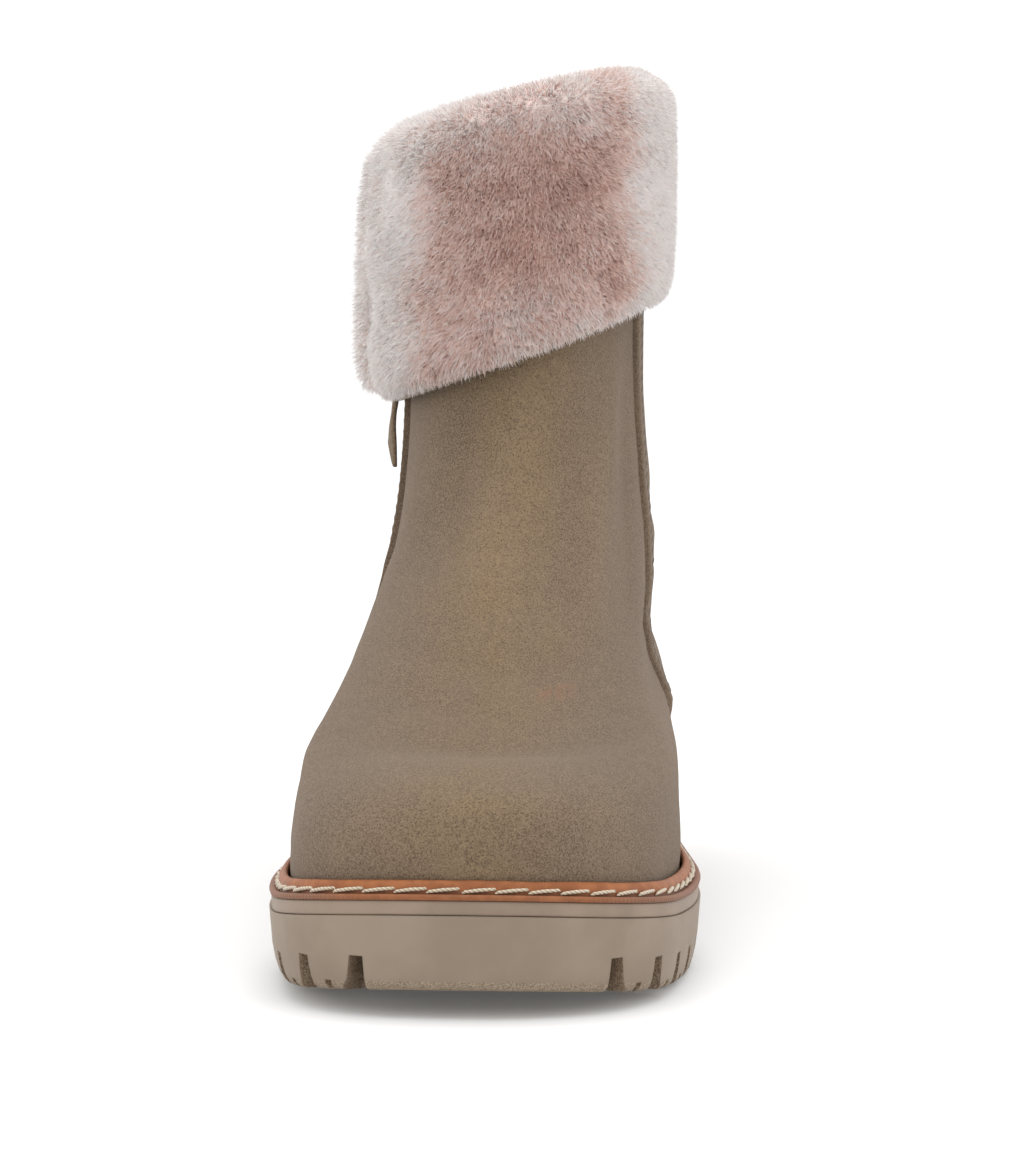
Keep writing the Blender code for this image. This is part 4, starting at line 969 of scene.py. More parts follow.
    def _band(self) -> Material:
        """Smooth band over the lug unit, with a broken line of painted shade at its top and foot."""
        g = Paint(self.fx, Finish("midsole band", (0.233, 0.172, 0.124), 0.55, 0.4))
        cloud = g.spots(60.0, 4.0, 0.3, 0.7)
        base = g.mix(cloud, (0.211, 0.155, 0.112), (0.255, 0.189, 0.139))
        broken = g.spots(55.0, 3.0, 0.40, 0.62)
        # painted shade along the band's foot and top edge, broken by a mottle
        line = g.times(g.number("deep"), g.span(broken, 0.0, 1.0, 0.25, 0.9))
        return g.done(g.mix(line, base, (0.085, 0.060, 0.042)), g.grain(900.0, 0.00005))

    def _tape(self) -> Material:
        """Woven tape of the zip."""
        g = Paint(self.fx, Finish("zip tape", (0.115, 0.085, 0.062), 0.85, 0.2, 0.3))
        weave = g.node("ShaderNodeTexWave", {"bands_direction": "Z"}, Vector=g.place(), Scale=420.0,
                       Distortion=0.5)
        return g.done(normal=g.bump(0.5, 0.0002, Height=weave.outputs["Fac"]))

    def _metal(self) -> Material:
        """Dark satin metal of the teeth, slider and ring."""
        g = Paint(self.fx, Finish("zip metal", (0.272, 0.232, 0.184), 0.34, metallic=1.0))
        wear = g.spots(700.0, 3.0, 0.4, 0.7)
        return g.done(g.mix(wear, (0.192, 0.160, 0.128), (0.384, 0.344, 0.288)))

    def _floor(self) -> Material:
        """Plain white studio floor."""
        g = Paint(self.fx, Finish("studio floor", (0.74, 0.74, 0.74), 0.9, 0.1))
        g.feed(g.shader.inputs["Emission Color"], (1.0, 1.0, 1.0))
        g.feed(g.shader.inputs["Emission Strength"], 0.07)
        return g.done()


# Pieces


@dataclass
class Part:
    """One sub-assembly of the boot, or its studio.

    Args:
        paints: the materials.
    """
    paints: Paints


@dataclass
class Upper(Part):
    """Napped outer skin of the boot with its folds, and its lining side.

    Args:
        around: columns of the mesh.
        rows: rows of the mesh.
    """
    around: int = 320
    rows: int = 140

    @staticmethod
    def tones(u: Array, v: Array, points: Array) -> dict[str, Array]:
        """Masks for the nubuck: warm middle, ridges and toe paler by rubbing and painted highlight, painted
        shade in hollows, at the foot and on the outer side, and the reddish scuff.
        """
        relief = leather_relief(u, v)
        front = ease((np.cos(u) + 0.2) / 0.9)
        warm = np.exp(-(points[..., 0] / 0.022) ** 2) * front * (0.75 + 0.25 * value_noise(
            u * 5.0 + 20, v * 1.3, 21))
        # painted highlight on the top of the toe box, where the overhead light catches it
        toe = np.exp(-((v - 4.3) / 1.0) ** 2) * ease((np.cos(u) - 0.1) / 0.8)
        streak = np.exp(-((u - math.radians(44)) / 0.13) ** 2)
        streak = streak * ease((v - 7.5) / 2) * ease((12.5 - v) / 3)
        # paler on ridges, the toe and the outer fold: partly rubbed wear, partly painted highlight
        worn = np.clip(relief / 0.0018, 0, 1) * 0.5 + toe * 0.55 + streak * 0.35
        # painted shade in the hollow at the front of the ankle
        shade = np.exp(-((u - TAU + math.radians(26)) / 0.22) ** 2)
        shade = shade * ease((v - 9.5) / 1.5) * ease((13.5 - v) / 2)
        # painted shade at the foot of the upper, against the welt
        low = np.exp(-(v / 0.35) ** 2)
        # painted shade on the outer side of the front, turned away from the light
        outer = ease((points[..., 0] - 0.012) / 0.022) * front
        # painted shade: troughs of the folds plus the masks above
        dark = np.clip(-relief / 0.0022, 0, 1) * 0.5 + shade * 0.45 + low * 0.8 + outer * 0.16
        return {"warm": np.clip(warm, 0, 1), "worn": np.clip(worn, 0, 1), "dark": np.clip(dark, 0, 1),
                "scuff": Upper.scuff(u, v)}

    @staticmethod
    def scuff(u: Array, v: Array) -> Array:
        """Reddish rubbed mark on the outer front of the vamp."""
        turn = np.mod(u + math.pi, TAU) - math.pi
        streaks = ease(value_noise(turn * 40.0 + 60, v * 9.0, 31) * 0.8 + 0.45)
        return np.exp(-((turn - 0.38) / 0.13) ** 4) * np.exp(-((v - 7.45) / 0.14) ** 4) * streaks

    def build(self) -> list[Piece]:
        """Skin and lining wall as one closed shell."""
        u = np.arange(self.around) * TAU / self.around
        v = TOP_ROW * np.linspace(0.0, 1.0, self.rows)
        grid_u, grid_v = np.broadcast_arrays(u[None, :], v[:, None])
        base, normal = upper_surface(grid_u, grid_v), surface_normal(grid_u, grid_v)
        values = self.tones(grid_u, grid_v, base)
        outer, inner = base + normal * leather_relief(grid_u, grid_v)[..., None], base - normal * S.wall
        skin = Shape(outer.reshape(-1, 3), [grid_faces(self.rows, self.around, False, True)],
                     {key: value.reshape(-1) for key, value in values.items()})
        back = inner[::4, ::4]
        lining = Shape(back.reshape(-1, 3), [grid_faces(*back.shape[:2], False, True)[:, ::-1]],
                       {key: np.zeros(back.size // 3) for key in values})
        # rim walls at the top and foot of the upper carry full painted shade
        rims = []
        faces = grid_faces(2, self.around, False, True)
        for row, quads in ((0, faces[:, ::-1]), (-1, faces)):
            ring = np.stack([outer[row], inner[row]])
            rims.append(Shape(ring.reshape(-1, 3), [quads],
                              {key: np.full(2 * self.around, float(key == "dark")) for key in values}))
        shape = skin.joined(lining).joined(rims[0]).joined(rims[1])
        obj = shape.to_object("upper_leather", self.paints.nubuck)
        return [settle(obj, Slot.NUBUCK, "upper")]


@dataclass
class Quarter(Part):
    """Overlay round the back, with a rolled front edge and two rows of stitches.

    Args:
        rows: rows of the mesh.
        top_row: row of SECTIONS where it ends, under the cuff.
        pitch: distance from stitch to stitch.
        stitch: length of a stitch.
        thread: radius of the thread.
        slant: how much wider a seam's distance is along u than across the seam.
    """
    rows: int = 104
    top_row: float = 13.0
    pitch: float = 0.0030
    stitch: float = 0.0023
    thread: float = 0.00028
    slant: float = 1.9

    def angles(self, v: Array) -> tuple[Array, Array, Array, Array]:
        """Angles of the outside seam, the inside seam, the zip and half of its slot."""
        outside, inside = crossing(v, 1.0, seam_along), crossing(v, -1.0, seam_along)
        middle = crossing(v, -1.0, zip_along)
        return outside, inside, middle, (S.zip_width / 2 + S.gap) / girth(middle, v)

    @staticmethod
    def proud(u: Array, v: Array, height: Array | float) -> Array:
        """Points over the leather's surface."""
        lift = leather_relief(u, v) + height
        return upper_surface(u, v) + surface_normal(u, v) * lift[..., None]

    def build(self) -> list[Piece]:
        """Overlay, and its seam stitches."""
        v = np.linspace(0.9, self.top_row, self.rows)
        outside, inside, middle, half = self.angles(v)
        edge = np.array([0.0, 0.0015, 0.004, 0.009])
        share = np.concatenate([edge, np.linspace(0.02, 0.985, 128), 1 - edge[::-1]])
        back = outside[:, None] + (middle - half - outside)[:, None] * share
        bridge = middle[:, None] + half[:, None] * np.linspace(-0.8, 0.8, 5)
        share = np.concatenate([edge * 2, np.linspace(0.03, 0.98, 48), 1 - edge[::-1] * 2])
        front = (middle + half)[:, None] + (inside - middle - half)[:, None] * share
        u = np.concatenate([back, bridge, front], axis=1)
        grid_v = np.broadcast_to(v[:, None], u.shape)
        level = upper_surface(middle, v)[:, 2]
        keep = np.ones((len(v) - 1, u.shape[1] - 1), dtype=bool)
        near = back.shape[1] - 1
        far = near + bridge.shape[1] + 1
        keep[:, near:far] = (level[1:] < zip_foot_height())[:, None]
        roll = np.ones(u.shape[1])
        roll[[0, -1]], roll[[1, -2]], roll[[2, -3]] = 0.35, 0.75, 0.95
        roll[[near, far]] = 0.6
        outer = self.proud(u, grid_v, S.overlay_gap + S.quarter * roll[None, :])
        inner = self.proud(u, grid_v, -0.0002)
        tones = Upper.tones(u, grid_v, outer)
        seam = np.zeros(u.shape)
        seam[:, [0, 1, -1, -2]] = 1.0
        seam[:, [near, far]] = 0.6
        tones["dark"] = np.clip(tones["dark"] + 0.28 * seam, 0, 1)
        obj = shell(inner, outer, keep, tones).to_object("quarter_leather", self.paints.nubuck, 50.0)
        return [settle(obj, Slot.NUBUCK, "back_quarter"), self.stitches()]

    def stitches(self) -> Piece:
        """Two rows of short stitches behind each front edge and one row beside the zip."""
        v = np.linspace(1.2, self.top_row, 400)
        outside, inside, middle, half = self.angles(v)
        rows = ((outside, self.slant, 0.0, SEAM_ROWS), (inside, -self.slant, 0.0, SEAM_ROWS),
                (middle - half, -1.0, zip_foot_height(), ZIP_ROWS),
                (middle + half, 1.0, zip_foot_height(), ZIP_ROWS))
        parts = []
        for base, slant, lowest, distances in rows:
            for distance in distances:
                u = base + slant * distance / girth(base, v)
                line = self.proud(u, v, S.overlay_gap + S.quarter - 0.00005)
                above = line[:, 2] > lowest
                _, centre, along = along_line(line[above], self.pitch)
                out = surface_normal(np.interp(centre[:, 2], line[above, 2], u[above]),
                                     np.interp(centre[:, 2], line[above, 2], v[above]))
                parts.append(capsules(centre, along, out, np.full(len(centre), self.stitch), self.thread))
        obj = reduce(Shape.joined, parts).to_object("seam_stitches", self.paints.quiet_thread)
        return settle(obj, Slot.NUBUCK)


@dataclass
class Zip(Part):
    """Closed zip on the inside: tape and interlocked teeth.

    Args:
        pitch: distance from tooth to tooth.
        tape: height of the tape over the gap of the overlay.
        tuck: how far the tape goes under each edge of its slot.
        rise: height of the middle of the teeth over the same gap.
    """
    pitch: float = 0.00115
    tape: float = 0.0005
    tuck: float = 0.0006
    rise: float = 0.0012

    def line(self) -> tuple[Array, Array]:
        """Angles and rows of the zip's middle from its foot to the slider."""
        v = np.linspace(2.0, TOP_ROW - 1.0, 900)
        u = crossing(v, -1.0, zip_along)
        z = upper_surface(u, v)[:, 2]
        inside = (z > zip_foot_height() - 0.001) & (z < S.slider_height - S.slider_length / 2)
        return u[inside], v[inside]

    def build(self) -> list[Piece]:
        """Tape and teeth."""
        u, v = self.line()
        offsets = np.array([-1.0, -0.93, -0.5, 0.0, 0.5, 0.93, 1.0]) * (S.zip_width / 2 + self.tuck)
        grid_u = u[::6, None] + offsets[None, :] / girth(u, v)[::6, None]
        grid_v = np.broadcast_to(v[::6, None], grid_u.shape)
        outer = Quarter.proud(grid_u, grid_v, S.overlay_gap + self.tape)
        tape = shell(Quarter.proud(grid_u, grid_v, 0.0), outer)
        tape = tape.to_object("zip_tape_cloth", self.paints.tape, 40.0)
        return [settle(tape, Slot.TAPE, "zip_chain"), self.teeth(u, v)]

    def teeth(self, u: Array, v: Array) -> Piece:
        """Rows of small teeth, alternately from both sides over the middle."""
        middle = Quarter.proud(u, v, S.overlay_gap + self.rise)
        places, centre, along = along_line(middle, self.pitch)
        arc = arc_length(middle)
        out = surface_normal(np.interp(places, arc, u), np.interp(places, arc, v))
        side = unit(np.cross(out, along)) * np.where(np.arange(len(places)) % 2, 1.0, -1.0)[:, None]
        centre = centre + side * S.zip_chain * 0.17
        row = capsules(centre, unit(np.cross(out, along)), out,
                       np.full(len(centre), S.zip_chain * 0.62), self.pitch * 0.40, 1.3)
        return settle(row.to_object("zip_teeth", self.paints.metal), Slot.METAL)


@dataclass
class Welt(Part):
    """Storm welt: bead against the upper, stitched ledge and wheeled flange.

    Args:
        around: columns of the sweep.
        stitch_pitch: distance from stitch to stitch.
        thread: radius of the thread.
    """
    around: int = 600
    stitch_pitch: float = 0.0080
    thread: float = 0.00053

    def build(self) -> list[Piece]:
        """Sweep of the welt's section round the sole, then its stitches."""
        crest = S.feather * 0.90 - S.gap
        bead, high = S.bead_width, S.bead_height
        # columns: inset, lift, painted shade of the crevices, share of the flange colour
        section = np.array((
            (0.0002, 0.0, 0.2, 1.0), (0.0, S.welt * 0.45, 0.0, 1.0), (0.0002, S.welt * 0.9, 0.0, 1.0),
            (0.0007, S.welt * 1.05, 0.0, 0.9), (crest - bead * 1.12, S.welt * 1.0, 0.55, 0.3),
            (crest - bead * 1.02, S.welt * 0.95, 1.0, 0.0), (crest - bead * 0.96, high * 0.36, 0.7, 0.0),
            (crest - bead * 0.90, high * 0.56, 0.1, 0.0), (crest - bead * 0.76, high * 0.78, 0.0, 0.0),
            (crest - bead * 0.55, high * 0.94, 0.0, 0.0), (crest - bead * 0.30, high * 1.0, 0.0, 0.0),
            (crest - bead * 0.10, high * 0.97, 0.15, 0.0), (crest, high * 0.86, 0.6, 0.0),
            (crest, S.welt, 1.0, 0.0), (S.feather + S.wall, S.welt, 1.0, 0.0),
            (S.feather + S.wall, 0.0, 1.0, 0.0)))
        u = np.arange(self.around + 1) * TAU / self.around
        grid = np.stack([sole_ring(u, inset, lambda along: welt_seat(along) + lift)
                         for inset, lift, _, _ in section])
        arc = arc_length(grid[3])
        wobble = 0.00012 * value_noise(arc / 0.009, 0.0 * arc, 41)
        grid[6:12, :, 2] += wobble
        side = 0.25 + 0.75 * ease((np.abs(grid[0, :, 0] - 0.002) - 0.026) / 0.016)
        side = np.maximum(side, ease((grid[0, :, 1] + 0.125) / 0.02))
        values = {"deep": np.repeat(section[:, 2], len(u)),
                  "flange": (section[:, 3:4] * side[None, :]).reshape(-1)}
        ring_arc = np.stack([np.broadcast_to(arc, grid.shape[:2]),
                             np.broadcast_to(np.arange(len(section))[:, None] * 0.001, grid.shape[:2])],
                            axis=-1)
        shape = Shape(grid.reshape(-1, 3), [grid_faces(len(section), len(u), True, False)], values,
                      ring_arc.reshape(-1, 2))
        obj = shape.to_object("storm_welt", self.paints.welt, 60.0)
        return [settle(obj, Slot.WELT, "welt"), self.stitches(u, crest - bead * 1.02)]

    def stitches(self, u: Array, inset: float) -> Piece:
        """Long cream stitches at the foot of the bead, each rising a little along its way."""
        line = sole_ring(u, inset, lambda along: welt_seat(along) + S.welt + 0.00115)
        _, centre, direction = along_line(line, self.stitch_pitch)
        side = unit(np.cross(direction, UP))
        out = unit(side * 0.75 + np.array([0.0, 0.0, 0.66]))
        tilt = unit(direction + np.cross(out, direction) * 0.12)
        rng = np.random.default_rng(5)
        length = self.stitch_pitch * rng.uniform(1.03, 1.08, len(centre))
        row = capsules(centre, tilt, out, length, self.thread, 0.9)
        obj = row.to_object("welt_stitches", self.paints.thread)
        return settle(obj, Slot.WELT)


@dataclass
class Midsole(Part):
    """Smooth band over the lug unit with a fine line of painted shade under its lip.

    Args:
        around: columns of the band.
    """
    around: int = 480

    def build(self) -> list[Piece]:
        """Closed band from rings of the sole's outline."""
        u = np.arange(self.around) * TAU / self.around
        edge = S.side_taper * 0.3
        # columns: inset, lift, painted shade, strongest along the foot of the band
        section = np.array((
            (0.020, -0.9 * S.gap, 1.0), (edge + 0.0003, -0.9 * S.gap, 0.8), (edge, 0.0, 0.3),
            (edge, 0.0003, 0.0), (edge, 0.0027, 0.0), (edge + 0.0001, 0.0032, 0.0),
            (edge + 0.0003, 0.00345, 0.2), (0.020, 0.00345, 0.6)))
        grid = np.stack([sole_ring(u, inset, lambda along: welt_seat(along) - S.gap - S.midsole + lift)
                         for inset, lift, _ in section])
        shape = Shape(grid.reshape(-1, 3), [grid_faces(len(section), self.around, True, True)],
                      {"deep": np.repeat(section[:, 2], self.around)})
        obj = shape.to_object("midsole_lip", self.paints.band, 60.0)
        return [settle(obj, Slot.BAND, "midsole")]


@dataclass
class Outsole(Part):
    """Lug unit with its grooves, channels, arch and block heel, at the photo's smoothness.

    Args:
        around: columns of the sole's outline.
    """
    around: int = 288

    def build(self) -> list[Piece]:
        """Stack of outline rings with the tread cut out of it."""
        u = np.arange(self.around) * TAU / self.around
        tuck = S.inside_round * np.clip(-np.sin(u), 0.0, 1.0)
        taper, bevel = S.side_taper, S.edge_round

        def top(along: Array) -> Array:
            """Height of the unit's upper face."""
            return welt_seat(along) - 2 * S.gap - S.midsole
        table = ((taper + tuck + bevel * 0.75, sole_bottom),
                 (taper + tuck * 0.8 + bevel * 0.42, lambda a: sole_bottom(a) + bevel * 0.14),
                 (taper + tuck * 0.6 + bevel * 0.18, lambda a: sole_bottom(a) + bevel * 0.42),
                 (taper + tuck * 0.25, lambda a: sole_bottom(a) + bevel),
                 (taper * 0.7 + tuck * 0.1, lambda a: sole_bottom(a) + (top(a) - sole_bottom(a)) * 0.3),
                 (taper * 0.4, lambda a: sole_bottom(a) + (top(a) - sole_bottom(a)) * 0.5),
                 (0.0, lambda a: top(a) - 0.0002), (0.0002, top))
        grid = np.stack([sole_ring(u, inset, height) for inset, height in table])
        count = self.around
        j = np.arange(count // 2)
        caps = [np.stack([base + j, base + j + 1, base + (count - j - 1) % count,
                          base + (count - j) % count], axis=-1)[1:-1]
                for base in (0, (len(grid) - 1) * count)]
        ends = [np.array([[base, base + 1, base + count - 1],
                          [base + count // 2, base + count // 2 - 1, base + count // 2 + 1]])
                for base in (0, (len(grid) - 1) * count)]
        ends = [ends[0][:, ::-1], ends[1]]
        side = grid_faces(len(grid), count, False, True)
        shape = Shape(grid.reshape(-1, 3), [np.concatenate([side, caps[0][:, ::-1], caps[1]]),
                                            np.concatenate(ends)])
        body = shape.to_object("outsole_blank", self.paints.rubber)
        tidy_normals(body)
        cutters = [self.arch(), self.grooves(), self.channel("toe", 0.0, S.forefoot_end),
                   self.channel("heel", S.heel_breast, S.sole_length), self.crossings()]
        body.data.materials.append(self.paints.rough_rubber)
        for cutter in cutters:
            tidy_normals(cutter)
            cutter.data.materials.append(self.paints.rough_rubber)
            cutter.data.polygons.foreach_set("material_index", np.ones(len(cutter.data.polygons), int))
            cut = body.modifiers.new(cutter.name, "BOOLEAN")
            cut.operation, cut.solver, cut.object = "DIFFERENCE", "EXACT", cutter
        graph = bpy.context.evaluated_depsgraph_get()
        mesh = bpy.data.meshes.new_from_object(body.evaluated_get(graph))
        for obj in (body, *cutters):
            bpy.data.objects.remove(obj, do_unlink=True)
        mesh.name = "lug_sole"
        self.mark_edge(mesh)
        mesh.shade_smooth()
        mesh.set_sharp_from_angle(angle=math.radians(32.0))
        return [settle(placed("lug_sole", mesh), Slot.SOLE, "outsole")]

    @staticmethod
    def mark_edge(mesh: bpy.types.Mesh) -> None:
        """Value "low": 1 on the tread, falling to 0 at the top of the rounded lower edge."""
        points = np.empty(len(mesh.vertices) * 3, dtype=np.float32)
        mesh.vertices.foreach_get("co", points)
        points = points.reshape(-1, 3)
        height = points[:, 2] - sole_bottom(points[:, 1] + S.sole_length / 2)
        low = 1.0 - ease((height - 0.0010) / (S.edge_round - 0.0008))
        mesh.attributes.new("low", "FLOAT", "POINT").data.foreach_set("value", low.astype(np.float32))

    def blocks(self, name: str, corners: Sequence[Array]) -> Piece:
        """One cutter from many separate blocks, each of levels of four corners from its foot up."""
        faces, points, shift = [], [], 0
        for block in corners:
            levels = len(block) // 4
            top = 4 * levels - 4
            caps = np.array([[3, 2, 1, 0], [top, top + 1, top + 2, top + 3]])
            faces += [grid_faces(levels, 4, False, True) + shift, caps + shift]
            points += block
            shift += len(block)
        shape = Shape(np.array(points, dtype=float), [np.concatenate(faces)])
        return shape.to_object(name, self.paints.rubber)

    def arch(self) -> Piece:
        """Prism of the hollow between forefoot and heel."""
        length = S.heel_breast - S.forefoot_end
        knots = np.array(ARCH_PROFILE)
        share = np.concatenate([np.linspace(0, 0.58, 22), [0.75, 0.90, 0.95, 0.98, 1.0]])
        height = smooth_through(share, knots[:, 0], knots[:, 1]) * S.arch_height
        profile = np.stack([S.forefoot_end + share * length, height], axis=-1)
        profile = np.concatenate([profile, [[S.heel_breast, -0.003], [S.forefoot_end, -0.003]]])
        n = len(profile)
        points = np.concatenate([np.stack([np.full(n, x), profile[:, 0] - S.sole_length / 2,
                                           profile[:, 1]], axis=-1) for x in (-0.1, 0.1)])
        i = np.arange(n)
        walls = np.stack([i, (i + 1) % n, n + (i + 1) % n, n + i], axis=-1)
        fans = [np.stack([np.full(n - 2, base), base + i[1:-1], base + i[2:]], axis=-1)
                for base in (0, n)]
        shape = Shape(points, [walls, fans[0][:, ::-1], fans[1]])
        return shape.to_object("arch", self.paints.rubber)

    @staticmethod
    def walk() -> tuple[Array, Array, Array, Array]:
        """Fine walk round the sole: arc length, point, tangent and inward normal."""
        u = np.linspace(0.0, TAU, 1441)
        x, along = sole_outline(u, S.side_taper)
        point = np.stack([x, along], axis=-1)
        tangent = unit(np.gradient(point, axis=0))
        return arc_length(point), point, tangent, np.stack([-tangent[:, 1], tangent[:, 0]], axis=-1)

    def grooves(self) -> Piece:
        """Wedges between the rim lugs, one side upright and one leaning, and a sipe in each lug."""
        arc, point, tangent, inward = self.walk()

        def at(here: float) -> tuple[Array, ...]:
            """Point, tangent and inward normal at an arc length."""
            return tuple(np.array([np.interp(here, arc, table[:, k]) for k in range(2)])
                         for table in (point, tangent, inward))

        def corner(frame: tuple[Array, ...], across: float, depth: float, z: float) -> Array:
            """Corner of a cutter, along and into the sole from a frame."""
            place = frame[0] + frame[1] * across + frame[2] * depth
            return np.array([place[0], place[1] - S.sole_length / 2, z])
        corners = []
        outer, inner = -2 * S.edge_round, S.rim_lug_depth + S.channel_width / 2
        for here, side in self.lugs(arc, point):
            frame = at(here)
            frame = (frame[0], frame[1] * side, frame[2])
            floor = float(sole_bottom(frame[0][1]))
            levels = ((S.groove_foot * 1.32, -S.edge_round, -S.edge_round),
                      (S.groove_foot * 1.18, S.groove_height * 0.04, S.groove_height * 0.04),
                      (S.groove_foot * 0.95, S.groove_height * 0.22, S.tread_depth * 0.3),
                      (S.groove_top, S.groove_height, S.tread_depth))
            corners.append([corner(frame, a, d, floor + h) for wide, high, deep in levels
                            for a, d, h in ((0.0, outer, high), (wide, outer, high),
                                            (wide, inner, deep), (0.0, inner, deep))])
            middle = here + side * (S.lug_pitch + S.groove_foot) / 2
            frame = at(middle)
            at_arch = S.forefoot_end - S.lug_pitch < frame[0][1] < S.heel_breast + S.lug_pitch / 2
            at_back = (arc[-1] / 2 - middle) * side < S.sipe_width
            if at_arch or at_back:
                continue
            floor, half = float(sole_bottom(frame[0][1])), S.sipe_width / 2
            square = ((-half, outer), (half, outer), (half, S.sipe_depth), (-half, S.sipe_depth))
            corners.append([corner(frame, a, d, floor - S.edge_round) for a, d in square]
                           + [corner(frame, a, d, floor + S.sipe_height) for a, d in square])
        return self.blocks("grooves", corners)

    @staticmethod
    def lugs(arc: Array, point: Array) -> list[tuple[float, int]]:
        """Arc lengths of the grooves, with the side of the foot: 1 outside."""
        places = []
        for side in (1, -1):
            reach = S.toe_lug / 2 + side * S.lug_shift
            while reach < arc[-1] / 2 - S.lug_pitch / 2:
                here = reach if side > 0 else arc[-1] - reach
                along = np.interp(here, arc, point[:, 1])
                if along < S.forefoot_end - S.lug_pitch / 2 or along > S.heel_breast + S.lug_pitch / 2:
                    places.append((float(here), side))
                reach += S.lug_pitch
        return places

    def channel(self, name: str, start: float, end: float) -> Piece:
        """Channel along the inner side of the rim lugs."""
        u = (np.arange(96) + 0.5) * TAU / 96 - (math.pi if start == 0.0 else 0.0)
        _, along = sole_outline(u, S.rim_lug_depth)
        u = u[(along > start - S.lug_pitch) & (along < end + S.lug_pitch)]
        section = ((0.0, -S.edge_round), (0.0, S.tread_depth),
                   (S.channel_width, S.tread_depth), (S.channel_width, -S.edge_round))
        grid = np.stack([sole_ring(u, S.rim_lug_depth + inset, lambda along: sole_bottom(along) + lift)
                         for inset, lift in section])
        count = grid.shape[1]
        ends = np.array([[i * count for i in range(4)], [i * count + count - 1 for i in (3, 2, 1, 0)]])
        shape = Shape(grid.reshape(-1, 3), [np.concatenate([grid_faces(4, count, True, False), ends])])
        return shape.to_object(name + "_channel", self.paints.rubber)

    def crossings(self) -> Piece:
        """Straight channels across the middle of the tread."""
        first = S.toe_lug / 2 + S.lug_pitch * 0.3
        places = np.concatenate([
            np.arange(first, S.forefoot_end - S.channel_width, S.lug_pitch),
            np.arange(S.heel_breast + S.lug_pitch,
                      S.sole_length - S.rim_lug_depth - S.channel_width * 2, S.lug_pitch)])
        fine = np.linspace(0.05, math.pi - 0.05, 200)
        corners = []
        for along in places:
            floor = float(sole_bottom(along))
            ends = []
            for side in (-1.0, 1.0):
                x, on = sole_outline(side * fine, S.rim_lug_depth + S.channel_width / 2)
                ends.append(float(np.interp(along, on, x)))
            half = S.channel_width / 2
            square = ((ends[0], -half), (ends[1], -half), (ends[1], half), (ends[0], half))
            y = along - S.sole_length / 2
            corners.append([(x, y + d, floor - S.edge_round) for x, d in square]
                           + [(x, y + d, floor + S.tread_depth * 0.98) for x, d in square])
        return self.blocks("crossings", corners)


def tidy_normals(obj: Piece) -> None:
    """Turn the faces of a closed mesh outwards."""
    work = bmesh.new()
    work.from_mesh(obj.data)
    bmesh.ops.recalc_face_normals(work, faces=work.faces)
    work.to_mesh(obj.data)
    work.free()


